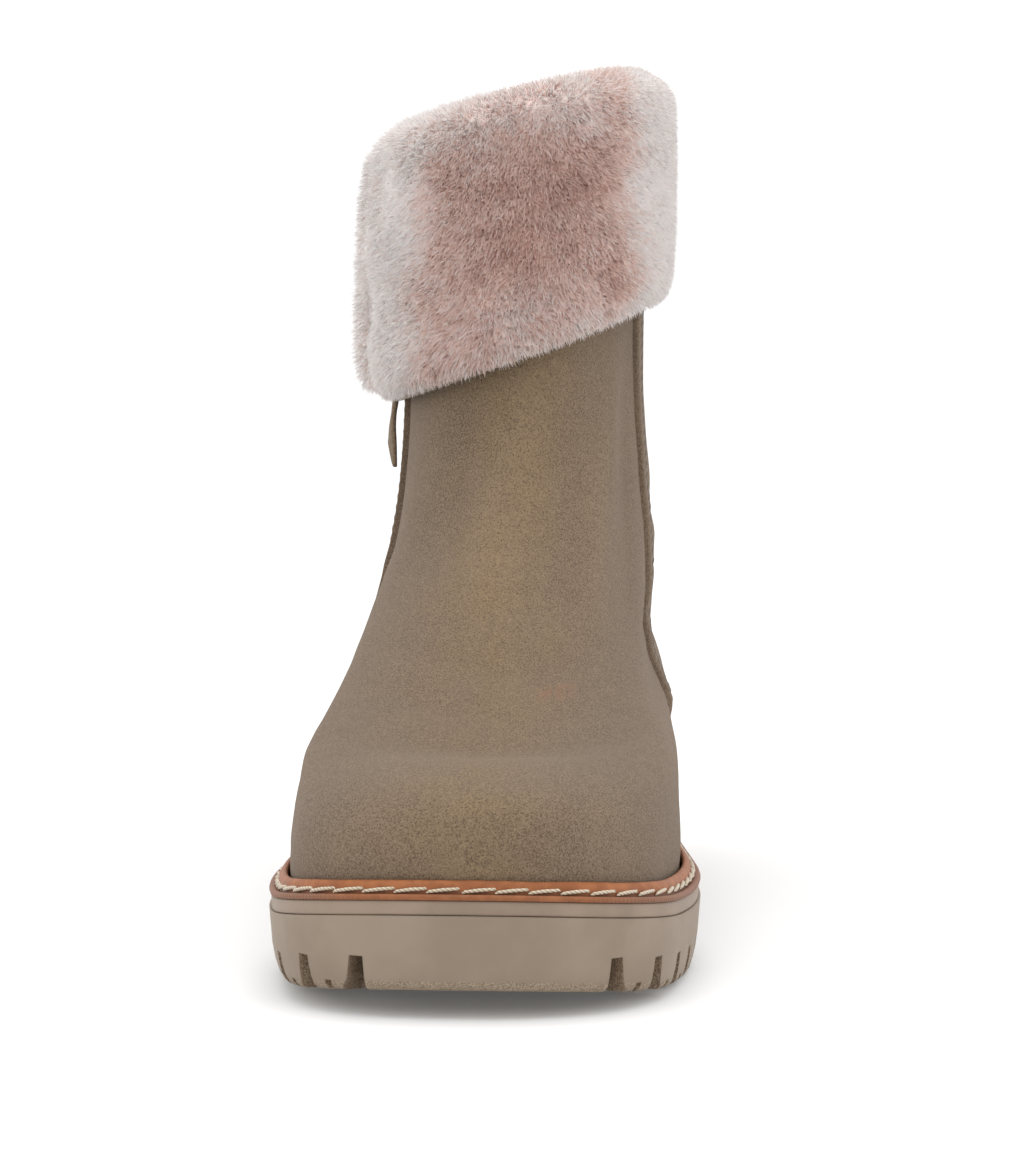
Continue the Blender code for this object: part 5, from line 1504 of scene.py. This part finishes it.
@dataclass
class Cuff(Part):
    """Turned-down fur cuff: pile skin, hairs, and the hide's edge with its overlock stitches.

    Args:
        around: columns of the pile skin.
        rows: rows of the pile skin.
        hairs: hairs on the whole cuff.
        parts: meshes that the hairs are shared among.
        columns: columns of the solid cuff, 7.5 degrees apart, that its tapers are counted in.
        first: angle u of the column at the rear flap's end, in degrees.
        outer_hair: length of the hairs outside.
        inner_hair: length of the hairs over the rim and inside.
        tuft: width of a tuft.
        overlock: distance from stitch to stitch over the hide's edge.
        stitch: length of such a stitch.
        thread: radius of its thread.
    """
    around: int = 260
    rows: int = 96
    hairs: int = 186000
    parts: int = 4
    columns: int = 47
    first: float = 277.5
    outer_hair: float = 0.0033
    inner_hair: float = 0.0042
    tuft: float = 0.0015
    overlock: float = 0.0026
    stitch: float = 0.0022
    thread: float = 0.00026

    def __post_init__(self) -> None:
        """Work out the rim, the lower edge and the thickness of the pile for each column."""
        place = np.linspace(0.0, self.columns - 1.0, self.around)
        self.u = np.radians(self.first + 7.5 * (self.columns - 1.0 - place))
        self.rim = upper_surface(self.u, np.full(self.around, TOP_ROW))
        flat = surface_normal(self.u, np.full(self.around, TOP_ROW)) * np.array([1.0, 1.0, 0.0])
        self.flat = unit(flat)
        self.flare = S.flap_flare * ease(1.0 - place / 6.0)
        last = self.columns - 1.0 - place
        self.thin = 1.0 - 0.45 * ease(1.0 - last / 3.0) - 0.15 * ease(1.0 - place)
        side = self.rim[:, 0] / (S.shaft_width / 2)
        self.depth = S.fur * self.thin * (1.0 - S.cuff_shift * side)
        self.arc = arc_length(self.rim)
        end = np.minimum(self.arc, self.arc[-1] - self.arc) / 0.007
        self.tip = np.sqrt(np.clip(1.0 - (1.0 - np.clip(end, 0.0, 1.0)) ** 2, 0.0, 1.0))
        self.low = S.cuff_edge + S.cuff_tilt * self.rim[:, 0]

    def at(self, level: float, out: Array) -> Array:
        """Points at a share of the height between lower edge and rim, at a distance out."""
        z = self.low + (self.rim[:, 2] - self.low) * level
        base = upper_surface(self.u, row_at_height(self.u, np.minimum(z, self.rim[:, 2])))
        base[:, 2] = z
        return base + self.flat * out[:, None]

    def over(self, lift: float, out: Array) -> Array:
        """Points at a height over the rim and at a distance out from its outer face."""
        return self.rim + self.flat * out[:, None] + np.array([0.0, 0.0, lift])

    def skin(self, pile: float) -> Array:
        """Surface of the cuff at a share of its pile: from the lower edge over the rim and down."""
        stand = S.overlay_gap + S.quarter + 3 * S.gap + S.leather_edge
        thick, line = self.depth * pile * self.tip, S.lining * pile * (0.4 + 0.6 * self.tip)
        flare = self.flare
        loops = [self.at(0.0, stand + flare), self.at(0.02, stand + flare + thick * 0.45)]
        for level, share in ((0.09, 0.82), (0.25, 0.97), (0.45, 1.0), (0.65, 1.0), (0.85, 0.93)):
            loops.append(self.at(level, stand + flare * (1 - 0.5 * level) + thick * share))
        crown = S.cuff_crown * (0.35 + 0.65 * pile)
        loops += [self.over(crown * 0.25, stand + thick * 0.72 + flare * 0.45),
                  self.over(crown * 0.85, thick * 0.52 + flare * 0.35),
                  self.over(crown, thick * 0.05 + flare * 0.2),
                  self.over(crown * 0.80, -S.wall - line * 0.55),
                  self.over(crown * 0.20, -S.wall - line * 0.95),
                  self.over(-S.cuff_lap * 0.5, -S.wall - line),
                  self.over(-S.cuff_lap, -S.wall - line * 0.9),
                  self.over(-S.cuff_lap * 1.9, -S.wall - line * 0.8)]
        knots = np.stack(loops)
        steps = np.linspace(0.0, len(loops) - 1.0, self.rows)
        return smooth_through(steps, range(len(loops)), knots)

    def tones(self, a: Array, b: Array, points: Array) -> Array:
        """Lightness of the pile: dusky in the middle of the front, paler at both sides by a painted sheen
        and at the rim by painted light from above, with painted shade in the two dents.
        """
        x, z = points[..., 0], points[..., 2]
        wander = 0.0018 * value_noise(a / 0.014 + 2, b / 0.012, 53)
        # painted sheen: both sides of the cuff paler, as the pile looks at a glancing view
        side = ease((-x - 0.017 + wander) / 0.017) + ease((x - 0.026 + wander) / 0.014)
        # painted light: the top of the cuff paler under the light from above
        top = ease((z - 0.198 - 0.20 * x) / 0.016)
        middle = np.exp(-((x - 0.008) / 0.022) ** 2 - ((z - 0.186 - 0.2 * x) / 0.026) ** 2)
        hem = ease((self.hem_height(x) + 0.006 - z) / 0.004)
        blotch = 0.6 * value_noise(a / 0.015 + 7, b / 0.013, 51)
        blotch = blotch + 0.4 * value_noise(a / 0.006, b / 0.005 + 3, 52)
        light = 0.56 - 0.26 * middle + 0.26 * blotch + 0.24 * top + 0.62 * side + 0.16 * hem
        # painted shade in the two dents
        return np.clip(light - 0.42 * self.dents(points), 0.0, 1.0)

    @staticmethod
    def dents(points: Array) -> Array:
        """Two pressed places on the front flap beside the split: a long one and a half moon."""
        x, y, z = points[..., 0], points[..., 1], points[..., 2]
        long_one = np.exp(-((x + 0.0345) / 0.0042) ** 2 - ((z - 0.199) / 0.012) ** 2)
        moon = np.exp(-((x + 0.0390) / 0.0026) ** 2 - ((z - 0.1635) / 0.0065) ** 2)
        return np.clip(long_one * 0.8 + moon, 0.0, 1.0) * ease((0.080 - y) / 0.006)

    @staticmethod
    def hem_height(x: Array) -> Array:
        """Height of the cuff's lower edge at x."""
        return S.cuff_edge + S.cuff_tilt * np.clip(x, -S.shaft_width / 2, S.shaft_width / 2)

    @staticmethod
    def colours(light: Array, depth: Array) -> Array:
        """Colour of the pile from its lightness and from how near the tip a point is."""
        deep, mid, pale = (np.array(c) for c in ((0.560, 0.310, 0.250), (0.930, 0.715, 0.640),
                                                 (1.000, 0.990, 0.985)))
        tone = np.clip(light * 0.84 + depth * 0.40 - 0.12, 0.0, 1.0)[..., None]
        low = deep + (mid - deep) * np.clip(tone * 2.0, 0, 1)
        return low + (pale - low) * np.clip(tone * 2.0 - 1.0, 0, 1)

    def build(self) -> list[Piece]:
        """Pile skin, hairs, hide edge and overlock stitches."""
        grid = self.skin(0.70)
        steps = np.linalg.norm(np.diff(grid, axis=0), axis=2).mean(axis=1)
        rise = np.concatenate([[0.0], np.cumsum(steps)])
        a = np.broadcast_to(self.arc[None, :], grid.shape[:2])
        b = np.broadcast_to(rise[:, None], grid.shape[:2])
        ta = unit(np.gradient(grid, axis=1))
        tb = unit(np.gradient(grid, axis=0))
        normal = unit(np.cross(tb, ta))
        grid = grid - normal * (0.0022 * self.dents(grid))[..., None]
        light = self.tones(a, b, grid)
        skin_points = grid + normal * (0.0006 * value_noise(a / 0.004, b / 0.004, 55))[..., None]
        turned_in = np.full(self.around, -S.wall - S.gap)
        inner = np.stack([self.at(0.0, 0.0018 + self.flare), self.at(0.6, 0.0018 + self.flare * 0.8),
                          self.at(0.98, 0.0014 + self.flare * 0.3),
                          self.over(0.0006, np.zeros(self.around)), self.over(0.0006, turned_in),
                          self.over(-S.cuff_lap * 1.9, turned_in)])
        loop = np.concatenate([skin_points, inner[::-1]])
        count = len(loop)
        ends = [np.arange(count) * self.around, np.arange(count)[::-1] * self.around + self.around - 1]
        tint = np.concatenate([self.colours(light, np.full(light.shape, 0.45)).reshape(-1, 3),
                               np.tile([[0.30, 0.22, 0.16]], (len(inner) * self.around, 1))])
        shape = Shape(loop.reshape(-1, 3), [grid_faces(count, self.around, True, False)[:, ::-1]]
                      + [end[None, :] for end in ends], {"hair": tint})
        pile = shape.to_object("cuff_pile", self.paints.pelt, 60.0)
        pieces = [settle(pile, Slot.FUR, "cuff")]
        frame = {"grid": grid, "normal": normal, "ta": ta, "tb": tb, "a": a, "b": b}
        return pieces + self.grow(frame) + self.edge()

    def grow(self, frame: dict[str, Array]) -> list[Piece]:
        """Hairs of the whole cuff, in several meshes."""
        rng = np.random.default_rng(2)
        sample = Scatter(frame, self.hairs, rng)
        s, t, data = sample.s, sample.t, sample.data
        share = t / (self.rows - 1.0)
        crest = np.exp(-((share - 0.64) / 0.07) ** 2)
        inside = ease((share - 0.66) / 0.08)
        tip = np.interp(s, np.arange(self.around), self.tip)
        thin = np.interp(s, np.arange(self.around), self.depth) / S.fur
        length = (self.outer_hair * (1 - inside) + self.inner_hair * inside) * (0.55 + 0.45 * tip)
        length = length * thin ** 0.5 * rng.uniform(0.70, 1.15, len(s))
        length = length * (0.16 + 0.84 * ease(share / 0.075))
        lay = 0.34 * (1 - crest) * (1 - 0.35 * inside)
        swirl = value_noise(data["a"] / 0.013, data["b"] / 0.012, 61) * 0.45
        jitter = rng.normal(0.0, 0.34, (len(s), 3))
        free = ease(share / 0.07)
        down = data["tb"] * (inside * 2.0 - 1.0)[:, None]
        lean = unit(data["normal"] + down * (lay * free)[:, None] + data["ta"] * swirl[:, None] + jitter)
        gather, clump = sample.tufts(self.tuft, 71)
        light = self.tones(data["a"], data["b"], data["grid"])
        light = np.clip(light + 0.16 * (clump - 0.5) + rng.normal(0.0, 0.15, len(s)), 0.0, 1.0)
        hair = Hairs(data["grid"], data["normal"], lean, down * free[:, None], gather, length, light)
        owner = np.minimum((s / self.around * self.parts).astype(int), self.parts - 1)
        pieces = []
        for part in range(self.parts):
            shape = hair.shape(owner == part, self.colours, rng)
            obj = shape.to_object(f"cuff_hairs_{part + 1}", self.paints.fur)
            pieces.append(settle(obj, Slot.FUR, "cuff"))
        return pieces

    def edge(self) -> list[Piece]:
        """Cut edge of the hide round the foot of the cuff, and the overlock thread over it."""
        out = S.overlay_gap + S.quarter + 3 * S.gap + self.flare
        section = ((0.0, 0.0), (-0.0012, 0.0001), (-0.0014, 0.0007), (-0.0010, 0.0014), (0.0006, 0.0019),
                   (0.0010, 0.0004))
        rings = []
        for lift, far in section:
            ring = self.at(0.0, out + far)
            ring[:, 2] += lift
            rings.append(ring)
        grid = np.stack(rings)
        ends = [np.arange(len(section))[::-1] * self.around, np.arange(len(section)) * self.around
                + self.around - 1]
        shape = Shape(grid.reshape(-1, 3), [grid_faces(len(section), self.around, True, False)]
                      + [end[None, :] for end in ends])
        hide = settle(shape.to_object("cuff_hide_edge", self.paints.edge, 50.0), Slot.NUBUCK)
        line = self.at(0.0, out + 0.0012)
        line[:, 2] -= 0.0006
        _, centre, along = along_line(line, self.overlock)
        outward = unit(np.cross(along, UP))
        upright = unit(UP + along * 0.35)
        row = capsules(centre + outward * 0.0003, upright, outward,
                       np.full(len(centre), self.stitch), self.thread)
        thread = settle(row.to_object("overlock_stitches", self.paints.quiet_thread), Slot.NUBUCK)
        return [hide, thread]


class Scatter:
    def __init__(self, frame: dict[str, Array], count: int, rng: np.random.Generator) -> None:
        """Draw the places: a cell for each by its area, then a spot in the cell."""
        count = count
        grid = frame["grid"]
        across = grid[:-1, 1:] - grid[:-1, :-1]
        up = grid[1:, :-1] - grid[:-1, :-1]
        area = np.linalg.norm(np.cross(across, up), axis=-1)
        total = np.cumsum(area.ravel())
        cell = np.searchsorted(total, rng.uniform(0.0, total[-1], count))
        cell = np.minimum(cell, area.size - 1)
        self.row, self.col = np.divmod(cell, area.shape[1])
        self.fy, self.fx = rng.uniform(0, 1, count), rng.uniform(0, 1, count)
        self.s, self.t = self.col + self.fx, self.row + self.fy
        self.data = {key: self.read(value) for key, value in frame.items()}

    def read(self, values: Array) -> Array:
        """Grid values at the places, between the four corners of each cell."""
        extra = (slice(None),) + (None,) * (values.ndim - 2)
        fx, fy = self.fx[extra], self.fy[extra]
        low = values[self.row, self.col] * (1 - fx) + values[self.row, self.col + 1] * fx
        high = values[self.row + 1, self.col] * (1 - fx) + values[self.row + 1, self.col + 1] * fx
        return low * (1 - fy) + high * fy

    def tufts(self, size: float, seed: int) -> tuple[Array, Array]:
        """Way from each place to the middle of its tuft, and a random number for the tuft."""
        a, b, chance = nearest_cell(self.data["a"], self.data["b"], size, seed)
        way = self.data["ta"] * (a - self.data["a"])[:, None]
        return way + self.data["tb"] * (b - self.data["b"])[:, None], chance


def nearest_cell(a: Array, b: Array, size: float, seed: int) -> tuple[Array, Array, Array]:
    """Nearest of a field of jittered cell centres, and a random number for that cell."""
    rng = np.random.default_rng(seed)
    jitter = rng.uniform(-0.42, 0.42, (128, 128, 2))
    chance = rng.uniform(0.0, 1.0, (128, 128))
    best = np.full(a.shape, np.inf)
    near_a, near_b, number = np.zeros_like(a), np.zeros_like(b), np.zeros_like(a)
    column_index, row_index = np.floor(a / size).astype(int), np.floor(b / size).astype(int)
    for dc in (-1, 0, 1):
        for dr in (-1, 0, 1):
            c, r = column_index + dc, row_index + dr
            offset = jitter[c % 128, r % 128]
            centre_a, centre_b = (c + 0.5 + offset[..., 0]) * size, (r + 0.5 + offset[..., 1]) * size
            distance = (centre_a - a) ** 2 + (centre_b - b) ** 2
            closer = distance < best
            best = np.where(closer, distance, best)
            near_a, near_b = np.where(closer, centre_a, near_a), np.where(closer, centre_b, near_b)
            number = np.where(closer, chance[c % 128, r % 128], number)
    return near_a, near_b, number


@dataclass
class Hairs:
    """Tapered hairs as ribbons of two faces, bent and gathered into tufts.

    Args:
        root: foot of each hair.
        normal: normal of the skin there.
        lean: unit direction in which the hair starts.
        down: direction towards which the hair bends.
        gather: way from the root to the middle of its tuft.
        length: length of each hair.
        light: lightness of each hair.
        width: half width of a hair at its root.
        droop: share of its length that the tip bends down by, doubled.
        pull: share of the way to the tuft's middle that the tip goes.
    """
    root: Array
    normal: Array
    lean: Array
    down: Array
    gather: Array
    length: Array
    light: Array
    width: float = 0.00017
    droop: float = 0.30
    pull: float = 0.36

    def shape(self, chosen: Array, colours: Callable[[Array, Array], Array],
              rng: np.random.Generator) -> Shape:
        """Ribbons of the chosen hairs: root pair, middle pair and tip, coloured along them."""
        root, normal, lean = self.root[chosen], self.normal[chosen], self.lean[chosen]
        down, gather, length = self.down[chosen], self.gather[chosen], self.length[chosen][:, None]
        side = unit(np.cross(lean, normal) + rng.normal(0.0, 0.25, root.shape))
        side = unit(side - lean * (side * lean).sum(axis=1, keepdims=True))
        middle = root + lean * length * 0.55 + gather * self.pull * 0.35
        tip = root + lean * length + down * length * self.droop * 0.5 + gather * self.pull
        half = self.width * rng.uniform(0.7, 1.3, (len(root), 1))
        points = np.stack([root - side * half, root + side * half, middle - side * half * 0.8,
                           middle + side * half * 0.8, tip], axis=1)
        base = np.arange(len(root)) * 5
        quads = np.stack([base, base + 1, base + 3, base + 2], axis=-1)
        tris = np.stack([base + 2, base + 3, base + 4], axis=-1)
        facing = np.cross(points[:, 1] - points[:, 0], middle - root)
        flip = (facing * normal).sum(axis=1) < 0
        quads[flip], tris[flip] = quads[flip][:, ::-1], tris[flip][:, ::-1]
        depth = np.array([0.0, 0.0, 0.55, 0.55, 1.0])
        tint = colours(np.repeat(self.light[chosen][:, None], 5, axis=1),
                       np.broadcast_to(depth[None, :], (len(root), 5)))
        shading = unit(normal + 0.35 * lean)
        return Shape(points.reshape(-1, 3), [quads, tris], {"hair": tint.reshape(-1, 3)},
                     normals=np.repeat(shading, 5, axis=0))


@dataclass
class Lining(Part):
    """Sheepskin lining of the shaft below the cuff's turned-in edge.

    Args:
        around: columns of the lining skin.
        rows: rows of the lining skin.
        hairs: hairs on its upper half.
        pile: depth of the lining skin under the wall.
        tuft: width of a tuft.
    """
    around: int = 120
    rows: int = 56
    hairs: int = 16000
    pile: float = 0.0020
    tuft: float = 0.0034

    def build(self) -> list[Piece]:
        """Lining skin with short hairs."""
        u = np.arange(self.around + 1) * TAU / self.around
        v = np.linspace(2.2, TOP_ROW - 0.55, self.rows)
        grid_u, grid_v = np.broadcast_arrays(u[None, :], v[:, None])
        normal = -surface_normal(grid_u, grid_v)
        base = upper_surface(grid_u, grid_v)
        pile = S.wall + self.pile + 0.0005 * value_noise(grid_u * 9, grid_v * 3, 81)
        grid = base + normal * pile[..., None]
        a, b = grid_u * 0.040, grid_v * 0.014
        light = np.clip(0.45 + 0.25 * value_noise(a / 0.012, b / 0.010, 82), 0, 1)
        tint = Cuff.colours(light * 0.9, np.full(light.shape, 0.3))
        faces = grid_faces(self.rows, self.around + 1)[:, ::-1]
        shape = Shape(grid.reshape(-1, 3), [faces], {"hair": tint.reshape(-1, 3)})
        skin = settle(shape.to_object("lining_pile", self.paints.pelt), Slot.FUR)
        upper_half = slice(int(self.rows * 0.55), None)
        frame = {"grid": grid[upper_half], "normal": normal[upper_half], "a": a[upper_half],
                 "b": b[upper_half], "ta": unit(np.gradient(grid, axis=1))[upper_half],
                 "tb": unit(np.gradient(grid, axis=0))[upper_half], "light": light[upper_half]}
        rng = np.random.default_rng(4)
        sample = Scatter(frame, self.hairs, rng)
        data = sample.data
        down = -data["tb"]
        lean = unit(data["normal"] + down * 0.6 + rng.normal(0.0, 0.3, down.shape))
        gather, _ = sample.tufts(self.tuft, 72)
        length = rng.uniform(0.0030, 0.0046, len(lean))
        hair = Hairs(data["grid"], data["normal"], lean, down, gather, length, data["light"], 0.00045)
        shape = hair.shape(np.ones(len(lean), dtype=bool), Cuff.colours, rng)
        return [skin, settle(shape.to_object("lining_hairs", self.paints.fur), Slot.FUR)]


@dataclass
class PullStrip(Part):
    """Leather strip on the slider's ring: soft edges, slanted end and a loop round the ring.

    Args:
        hinge: place of the pull's hinge.
        corners: corners of the section.
        soft: roundness of the section, 1 for an ellipse.
    """
    hinge: Array
    corners: int = 20
    soft: float = 0.45

    def build(self) -> list[Piece]:
        """Sweep of a rounded section down the strip."""
        t, half_neck = S.strip_thickness, S.strip_neck / 2
        down = np.concatenate([np.linspace(0.0, 0.16, 7), np.linspace(0.2, 1.0, 26)])
        level = -S.ring_length + 0.0012 - S.strip_length * down
        loop = np.exp(-((down - 0.06) / 0.06) ** 2)
        widen = ease((down - 0.10) / 0.35)
        wide = half_neck + (S.strip_width / 2 - half_neck) * widen
        thick = t / 2 * (1.0 + 0.75 * loop)
        turn = np.radians(S.strip_twist) * ease((down - 0.12) / 0.88)
        lean = S.strip_lean * ease(down * 1.4)
        n = self.corners
        angles = np.arange(n) * TAU / n
        ca, sa = (np.sign(wave) * np.abs(wave) ** self.soft for wave in (np.cos(angles), np.sin(angles)))
        back = wide[:, None] * ca * np.cos(turn)[:, None] - thick[:, None] * sa * np.sin(turn)[:, None]
        out = wide[:, None] * ca * np.sin(turn)[:, None] + thick[:, None] * sa * np.cos(turn)[:, None]
        slant = S.strip_slant * ca[None, :] * ease((down - 0.80) / 0.20)[:, None]
        points = np.stack([self.hinge[0] - lean[:, None] - out, self.hinge[1] + back,
                           self.hinge[2] + level[:, None] + slant], axis=-1)
        ends = [np.arange(n)[None, :], (np.arange(n)[::-1] + (len(down) - 1) * n)[None, :]]
        worn = np.clip(np.abs(ca[None, :]) ** 6 * 0.8 + 0.3 * (down[:, None] > 0.97), 0, 1) + 0 * back
        zeros = np.zeros(back.size)
        shape = Shape(points.reshape(-1, 3), [grid_faces(len(down), n, False, True), *ends],
                      {"worn": worn.reshape(-1), "warm": zeros + 0.4, "dark": zeros + 0.15, "scuff": zeros})
        obj = shape.to_object("strip_leather", self.paints.nubuck, 55.0)
        tidy_normals(obj)
        return [settle(obj, Slot.NUBUCK, "pull_strip", body=Body.PULL)]


@dataclass
class Hardware(Part):
    """CAD pieces whose shape stays and whose finish is painted.

    Args:
        nodes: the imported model's objects by name.
    """
    nodes: dict[str, Piece]

    def build(self) -> None:
        """Give the slider, the ring and the footbed their materials."""
        for name, material in (("zip_slider", self.paints.metal), ("pull_ring", self.paints.metal),
                               ("insole", self.paints.pelt)):
            for slot in self.nodes[name].material_slots:
                slot.material = material


@dataclass
class Studio(Part):
    """White floor, soft lights and the camera of the photo.

    Args:
        azimuth: turn of the camera to the outside, in degrees.
        pitch: how far it looks down, in degrees.
        focal_px: focal length in pixels of the photo.
        distance: distance on the floor from the toe's tip.
        height: height of the camera.
        shift: sideways offset of the camera.
        sensor: height of the camera's film in millimetres.
        photo_height: height of the photo in pixels.
    """
    azimuth: float = 4.0
    pitch: float = 6.0
    focal_px: float = 5208.0
    distance: float = 1.240
    height: float = 0.239
    shift: float = 0.0120
    sensor: float = 36.0
    photo_height: float = 1152.0

    def build(self) -> None:
        """Set up floor, lights, world and camera."""
        self.sweep()
        self.world()
        self.light("overhead", (0.0, -0.25, 1.30), (0.0, -0.04, 0.10), 1.0, 5.8)
        self.light("front", (-0.30, -1.75, 0.60), (0.0, 0.0, 0.11), 1.0, 0.7)
        self.light("inside", (-1.10, 0.10, 0.42), (0.0, 0.05, 0.20), 0.6, 1.7)
        self.light("outside", (1.10, 0.12, 0.42), (0.0, 0.05, 0.21), 0.6, 1.7)
        self.camera()

    def sweep(self) -> None:
        """Flat floor far past the picture's edges, as the stage."""
        x, y = np.array([-30.0, 30.0]), np.array([-4.0, 60.0])
        points = np.stack(np.broadcast_arrays(x[None, :], y[:, None], 0.0), axis=-1)
        floor = Shape(points.reshape(-1, 3), [grid_faces(2, 2)]).to_object(
            "studio_floor", self.paints.floor)

    @staticmethod
    def world() -> None:
        """Even white surroundings."""
        world = bpy.data.worlds.new("studio")
        world.use_nodes = True
        sky = world.node_tree.nodes["Background"]
        sky.inputs["Color"].default_value = (1.0, 1.0, 1.0, 1.0)
        sky.inputs["Strength"].default_value = 1.3
        bpy.context.scene.world = world

    @staticmethod
    def light(name: str, place: tuple, target: tuple, size: float, power: float) -> None:
        """Square soft box aimed at a target."""
        data = bpy.data.lights.new(name, "AREA")
        data.shape, data.size, data.energy = "SQUARE", size, power
        lamp = placed(name, data)
        forward = unit(np.array(target) - np.array(place))
        lamp.location = place
        lamp.rotation_euler = (math.acos(-forward[2]), 0.0, math.atan2(-forward[0], forward[1]))

    def camera(self) -> None:
        """Camera fitted to the photo."""
        turn = math.radians(self.azimuth)
        ahead = np.array([-math.sin(turn), math.cos(turn), 0.0])
        right = np.array([math.cos(turn), math.sin(turn), 0.0])
        place = np.array([0.0, -S.sole_length / 2, self.height]) - ahead * self.distance + right * self.shift
        data = bpy.data.cameras.new("photo_camera")
        data.sensor_width = self.sensor
        data.lens = self.focal_px / self.photo_height * self.sensor
        data.clip_start, data.clip_end = 0.05, 20.0
        camera = placed("photo_camera", data)
        camera.location = place
        camera.rotation_euler = (math.radians(90.0 - self.pitch), 0.0, turn)
        bpy.context.scene.camera = camera


def main() -> None:
    """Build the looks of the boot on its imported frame."""
    logging.basicConfig(level=logging.INFO, format="%(name)s %(message)s")
    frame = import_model()
    scene = bpy.context.scene
    scene.view_settings.view_transform = "Standard"
    scene.view_settings.look = "None"
    paints = Paints()
    hinge = np.array(frame["joints"][0]["pos_m"])
    Outsole(paints).build()
    Midsole(paints).build()
    Welt(paints).build()
    Upper(paints).build()
    Quarter(paints).build()
    Lining(paints).build()
    Zip(paints).build()
    Cuff(paints).build()
    PullStrip(paints, hinge).build()
    Hardware(paints, frame["nodes"]).build()
    Studio(paints).build()


if __name__ == "__main__":
    main()
